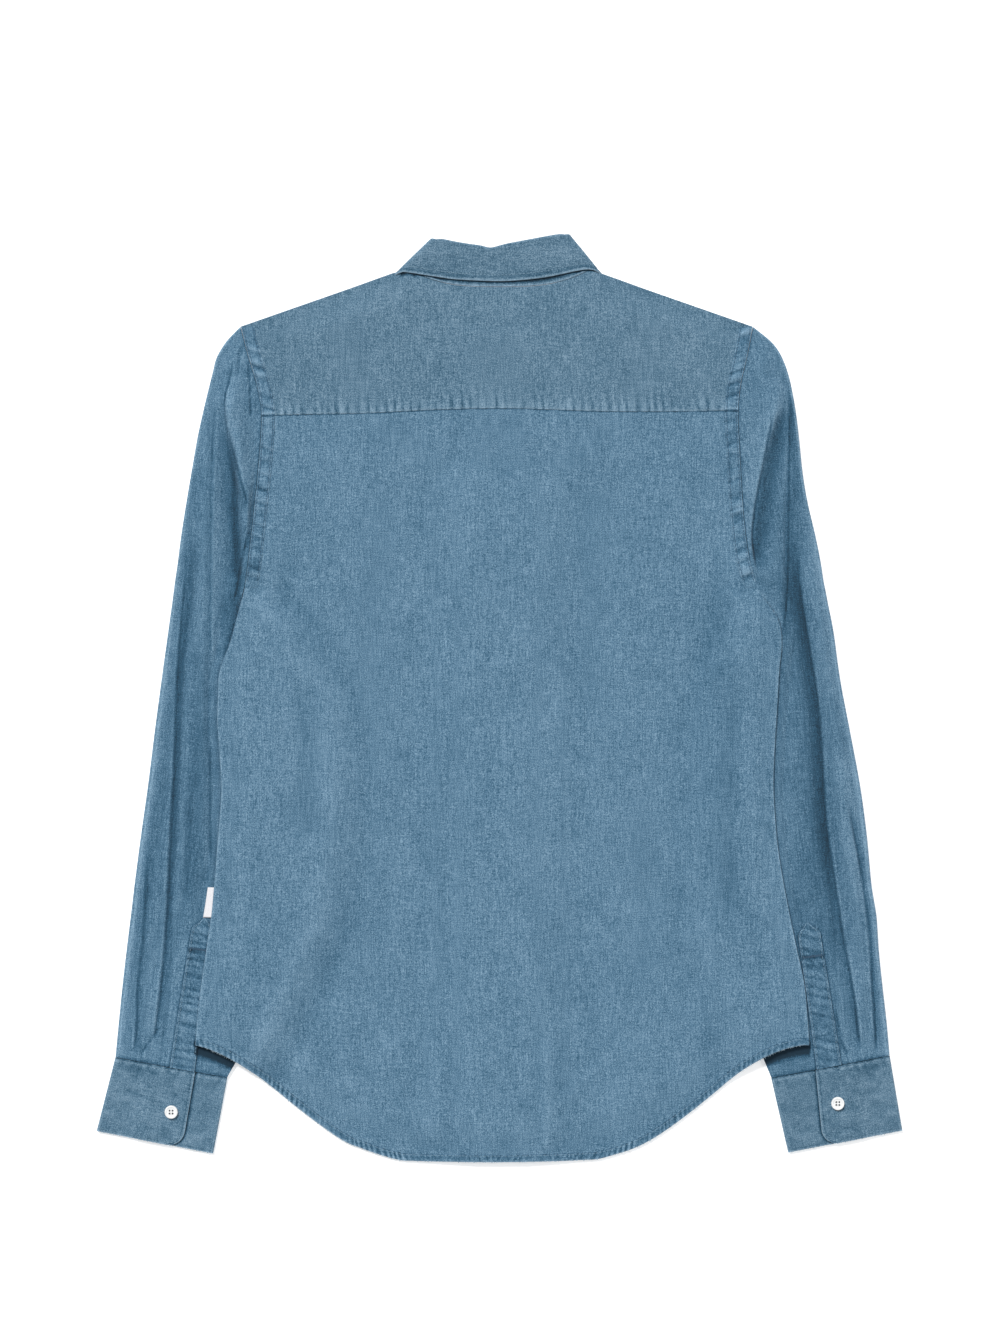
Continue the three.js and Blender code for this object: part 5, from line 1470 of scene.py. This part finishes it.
def build_label():
    v, u = pairs(np.linspace(0, 1, 40), np.linspace(0, 1, 12))
    y = lerp(LABEL_TOP, LABEL_LOW, v)
    seam = -half_width(-1, y) - SEAM * 0.5
    x = seam - u * lerp(LABEL_WIDTH, LABEL_OUT, v)
    out = (seam - x) / LABEL_OUT
    base = lerp(SLEEVE_LIFT + 0.8, np.maximum(sleeve_high(-1, x, y) + SEAM, SLEEVE_LIFT - 0.4), out)
    rough = 0.1 * np.sin(v * 9) * u + 0.05 * np.sin(y * 5.2)
    edge = np.minimum(np.minimum(v, 1 - v) * 24, (1 - u) * 6)
    return layer("label_tab", x, y, base, base + 1.0 + rough - rounded(edge, 0.4), tape)


back = build_back()
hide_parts("back")
yoke = build_yoke()
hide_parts("yoke")
fells = [build_fell(-1, "fell_left"), build_fell(1, "fell_right")]
hem = build_hem()
fronts = {}
for side, key in SIDES:
    fronts[key] = build_front(side, f"front_panel_{key}")
    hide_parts(f"front_{key}")
band = build_placket()
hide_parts("front_placket")
sleeves, towers, cuffs = {}, {}, {}
by_side = ((-1, "left", denim_left, denim_cuff_left), (1, "right", denim_right, denim_cuff_right))
for side, key, cloth, cuff_cloth in by_side:
    sleeves[key] = build_sleeve(side, f"sleeve_cloth_{key}", cloth)
    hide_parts(f"sleeve_{key}")
    towers[key] = build_tower(side, f"placket_cloth_{key}", cloth)
    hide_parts(f"sleeve_placket_{key}")
    cuffs[key] = build_cuff(key, f"cuff_cloth_{key}", cuff_cloth)
    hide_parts(f"cuff_{key}")
leaf, stand = build_collar()
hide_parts("collar_leaf")
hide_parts("collar_stand")
for _, key in SIDES:
    button = build_button(f"button_cuff_{key}", (*CUFFS[key]["button"], CUFF_HIGH + SEAM))
    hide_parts(f"cuff_button_{key}")
under = [(f"front_button_{i + 1}", FRONT_BUTTON - BUTTON_PITCH * i) for i in range(FRONT_BUTTONS)]
under = [("stand_button", STAND_BUTTON), *under]
for node, y in under:
    button = build_button(f"{node}_pearl", (0, y, BUTTON_HEIGHT), True)
    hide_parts(node)
label = build_label()
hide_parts("side_label")


# Sewing
def side_path(side, inset, top, bottom):
    y = np.arange(top, bottom, -2.0)
    return np.c_[side * (half_width(side, y) - inset), y]


def hem_path(inset, left=-238.0, right=242.0):
    return np.c_[beside_hem(np.linspace(left, right, 300), inset)]


def tower_paths(side, inset):
    """Lines along both sides of a pointed placket, at a distance from its edges."""
    x, y, _, half = tower(side, np.array([-1.0, 1.0]))
    t = inset / (2 * half[:, 0])
    shares = (np.clip(share, 0.02, 0.98) for share in (t, 1 - t))
    return [np.c_[lerp(*x.T, share), lerp(*y.T, share)] for share in shares]


def cuff_path(corners, down, start, stop):
    """A line along a cuff, at a distance from its seam with the sleeve."""
    a, e = cuff_line(corners, np.array([down / CUFF_DEPTH]))
    t = np.linspace(start, stop, 60)[:, None]
    return lerp(a, e, t)


def overlap_path(corners, inset):
    """The overlap's end and its rounded corner, at a distance from the edge."""
    b = np.linspace(0.0, 1.0 - inset / CUFF_DEPTH, 90)
    grown = b + inset / CUFF_DEPTH * smooth((b - 0.75) / 0.25)
    a, e = cuff_line(corners, b)
    reach = overlap_end(corners, np.minimum(grown, 1.0)) - inset
    return lerp(a, e, reach[:, None] / span(a, e))


across_yoke = np.linspace(-188.0, 188.5, 200)
body_tree = tree_of(yoke, back, hem, *fells)
yoke_line = np.c_[across_yoke, seam_y(across_yoke) + 1.3]
yoke_seam = stitches("yoke_stitches", body_tree, [yoke_line], thread)
hem_stitches = stitches("hem_stitches", body_tree, [hem_path(HEM_WIDTH - 0.9)], thread)
hem_fray = fray("hem_fray", body_tree, hem_path(0.0), 420, 151)
for side, key in SIDES:
    paths = [side_path(side, inset, SHOULDER_TIP - 2, ARMPIT - 4) for inset in (1.6, FELL_WIDTH - 1.3)]
    stitches(f"armhole_stitches_{key}", body_tree, paths, dark_thread, 2.8, 0.8)
side_seam = stitches("side_seam_stitches", body_tree, [side_path(1, 2.2, 64, -272)], thread, 3.2, 1.6, 0.36)
sewn, bars, holes, frayed = {}, {}, {}, {}
for side, key in SIDES:
    corners = CUFFS[key]
    tree = tree_of(towers[key], sleeves[key], cuffs[key])
    paths = [path[3:] for path in tower_paths(side, 1.5)]
    paths += [cuff_path(corners, 1.7, 0.02, 0.985)]
    paths += [cuff_path(corners, CUFF_DEPTH - 1.6, 0.02, corners["overlap"] - 0.11)]
    paths += [overlap_path(corners, 1.6)]
    sewn[key] = stitches(f"cuff_stitches_{key}", tree, paths, thread)
    edges = tower_paths(side, 1.0)
    row = np.argmin(np.abs(edges[0][:, 1] + TOWER_BAR[side] - 1.5))
    bar = np.array([edges[0][row], edges[1][row]])
    bars[key] = stitches(f"bar_{key}", tree, [bar + (0, s) for s in (0.4, -0.4)], dark_thread, 1.2, 0.1, 0.8)
    edge = cuff_path(corners, CUFF_DEPTH, 0.02, 0.98)
    frayed[key] = fray(f"cuff_fray_{key}", tree, edge if side < 0 else edge[::-1], 110, 153 + side)
    # A worked buttonhole under the button: close stitches round a slit that runs across the cuff
    centre = np.array(corners["button"])
    way = np.array(corners["inner"][0]) - np.array(corners["outer"][0])
    way = way / np.linalg.norm(way)
    over = np.array([-way[1], way[0]])
    turn = np.linspace(0, 2 * math.pi, 96)[:-1]
    ends = []
    for half, wide in ((6.0, 0.5), (7.2, 1.5)):
        rim = centre + np.outer(half * np.cos(turn), way) + np.outer(wide * np.sign(np.sin(turn)), over)
        ends.append(np.c_[rim, laid(tree, *rim.T) + 0.05])
    holes[key] = capsules(f"buttonhole_{key}", *ends, 0.42, 0.34, thread)
collar_tree = tree_of(leaf, stand)
edge_x = np.linspace(-78, 77.5, 120)
leaf_stitches = stitches("leaf_stitches", collar_tree, [np.c_[edge_x, leaf_edge(edge_x) + 5.0]], thread)
under_tree = tree_of(band, fronts["left"], fronts["right"], leaf)
down_band = np.linspace(255, HEM_LOW + FRONT_SHORTER + 3, 200)
sides = [np.c_[np.full(200, x), down_band] for x in (-PLACKET_HALF + 4.5, PLACKET_HALF - 4.5)]
band_stitches = stitches("band_stitches", under_tree, sides, thread, 3.2, 0.9, 0.5, True)
front_hem = [hem_path(5.0 + FRONT_SHORTER, *ends) for ends in ((-200, -16), (16, 200))]
front_stitches = stitches("front_hem_stitches", under_tree, front_hem, thread, 3.2, 0.9, 0.5, True)


def button_threads(name, place, turn=0.0, down=False):
    """Four strands through the holes of a button."""
    starts, ends = [], []
    for sx in (-HOLE, HOLE):
        for shift in (-0.12, 0.12):
            a = np.array([sx + shift, -1.0, BUTTON_HEIGHT - 0.42])
            starts.append(a)
            ends.append(a * (1, -1, 1))
    c, s = math.cos(turn), math.sin(turn)
    spin = np.array([[c, s, 0], [-s, c, 0], [0, 0, 1]])
    flip = np.array([1, -1, -1 if down else 1])
    starts, ends = np.array(starts) @ spin * flip + place, np.array(ends) @ spin * flip + place
    return capsules(name, starts, ends, 0.24, 0.24, button_thread)


for _, key in SIDES:
    place = np.array([*CUFFS[key]["button"], CUFF_HIGH + SEAM])
    button_threads(f"button_thread_{key}", place, math.pi / 2)
for node, y in under:
    button_threads(f"{node}_thread", np.array([0, y, BUTTON_HEIGHT]), 0, True)


# Camera straight above, as in the photograph
camera = bpy.data.objects.new("camera", bpy.data.cameras.new("camera"))
camera.data.lens = CAMERA_LENS
camera.data.sensor_width = CAMERA_SENSOR
camera.location = CAMERA_PLACE
bpy.context.scene.collection.objects.link(camera)
bpy.context.scene.camera = camera

# Floor and light
floor_mesh = bpy.data.meshes.new("floor")
floor_corners = [(x * FLOOR_HALF, y * FLOOR_HALF, 0) for x, y in ((-1, -1), (1, -1), (1, 1), (-1, 1))]
floor_mesh.from_pydata(floor_corners, [], [(0, 1, 2, 3)])
floor = bpy.data.objects.new("floor", floor_mesh)
paper = bpy.data.materials.new("paper")
paper.use_nodes = True
paper_inputs = paper.node_tree.nodes["Principled BSDF"].inputs
paper_inputs["Base Color"].default_value = (0.9, 0.9, 0.9, 1)
paper_inputs["Roughness"].default_value = 0.9
# The floor glows a little of its own: painted light that pales the shadows cast on it
paper_inputs["Emission Strength"].default_value = 0.42
floor_mesh.materials.append(paper)
floor.location.z = FLOOR_LOW
bpy.context.scene.collection.objects.link(floor)

world = bpy.data.worlds.new("world")
world.use_nodes = True
sky_inputs = world.node_tree.nodes["Background"].inputs
sky_inputs["Color"].default_value = (1, 1, 1, 1)
sky_inputs["Strength"].default_value = 0.3
bpy.context.scene.world = world
# Plain colours, so that the floor comes out as white as in the photograph
bpy.context.scene.view_settings.view_transform = "Standard"


def sun(name, place, angle, strength):
    """Even light from far off, soft as from a large studio lamp."""
    data = bpy.data.lights.new(name, "SUN")
    data.angle = math.radians(angle)
    data.energy = strength
    light = bpy.data.objects.new(name, data)
    light.location = place
    light.rotation_euler = Vector(place).to_track_quat("Z", "Y").to_euler()
    bpy.context.scene.collection.objects.link(light)


sun("key", (-1.4, 2.4, 2.9), 16, 2.9)
sun("fill", (2.6, 0.6, 2.4), 30, 0.7)
sun("low_fill", (-0.3, -2.6, 1.5), 50, 0.5)
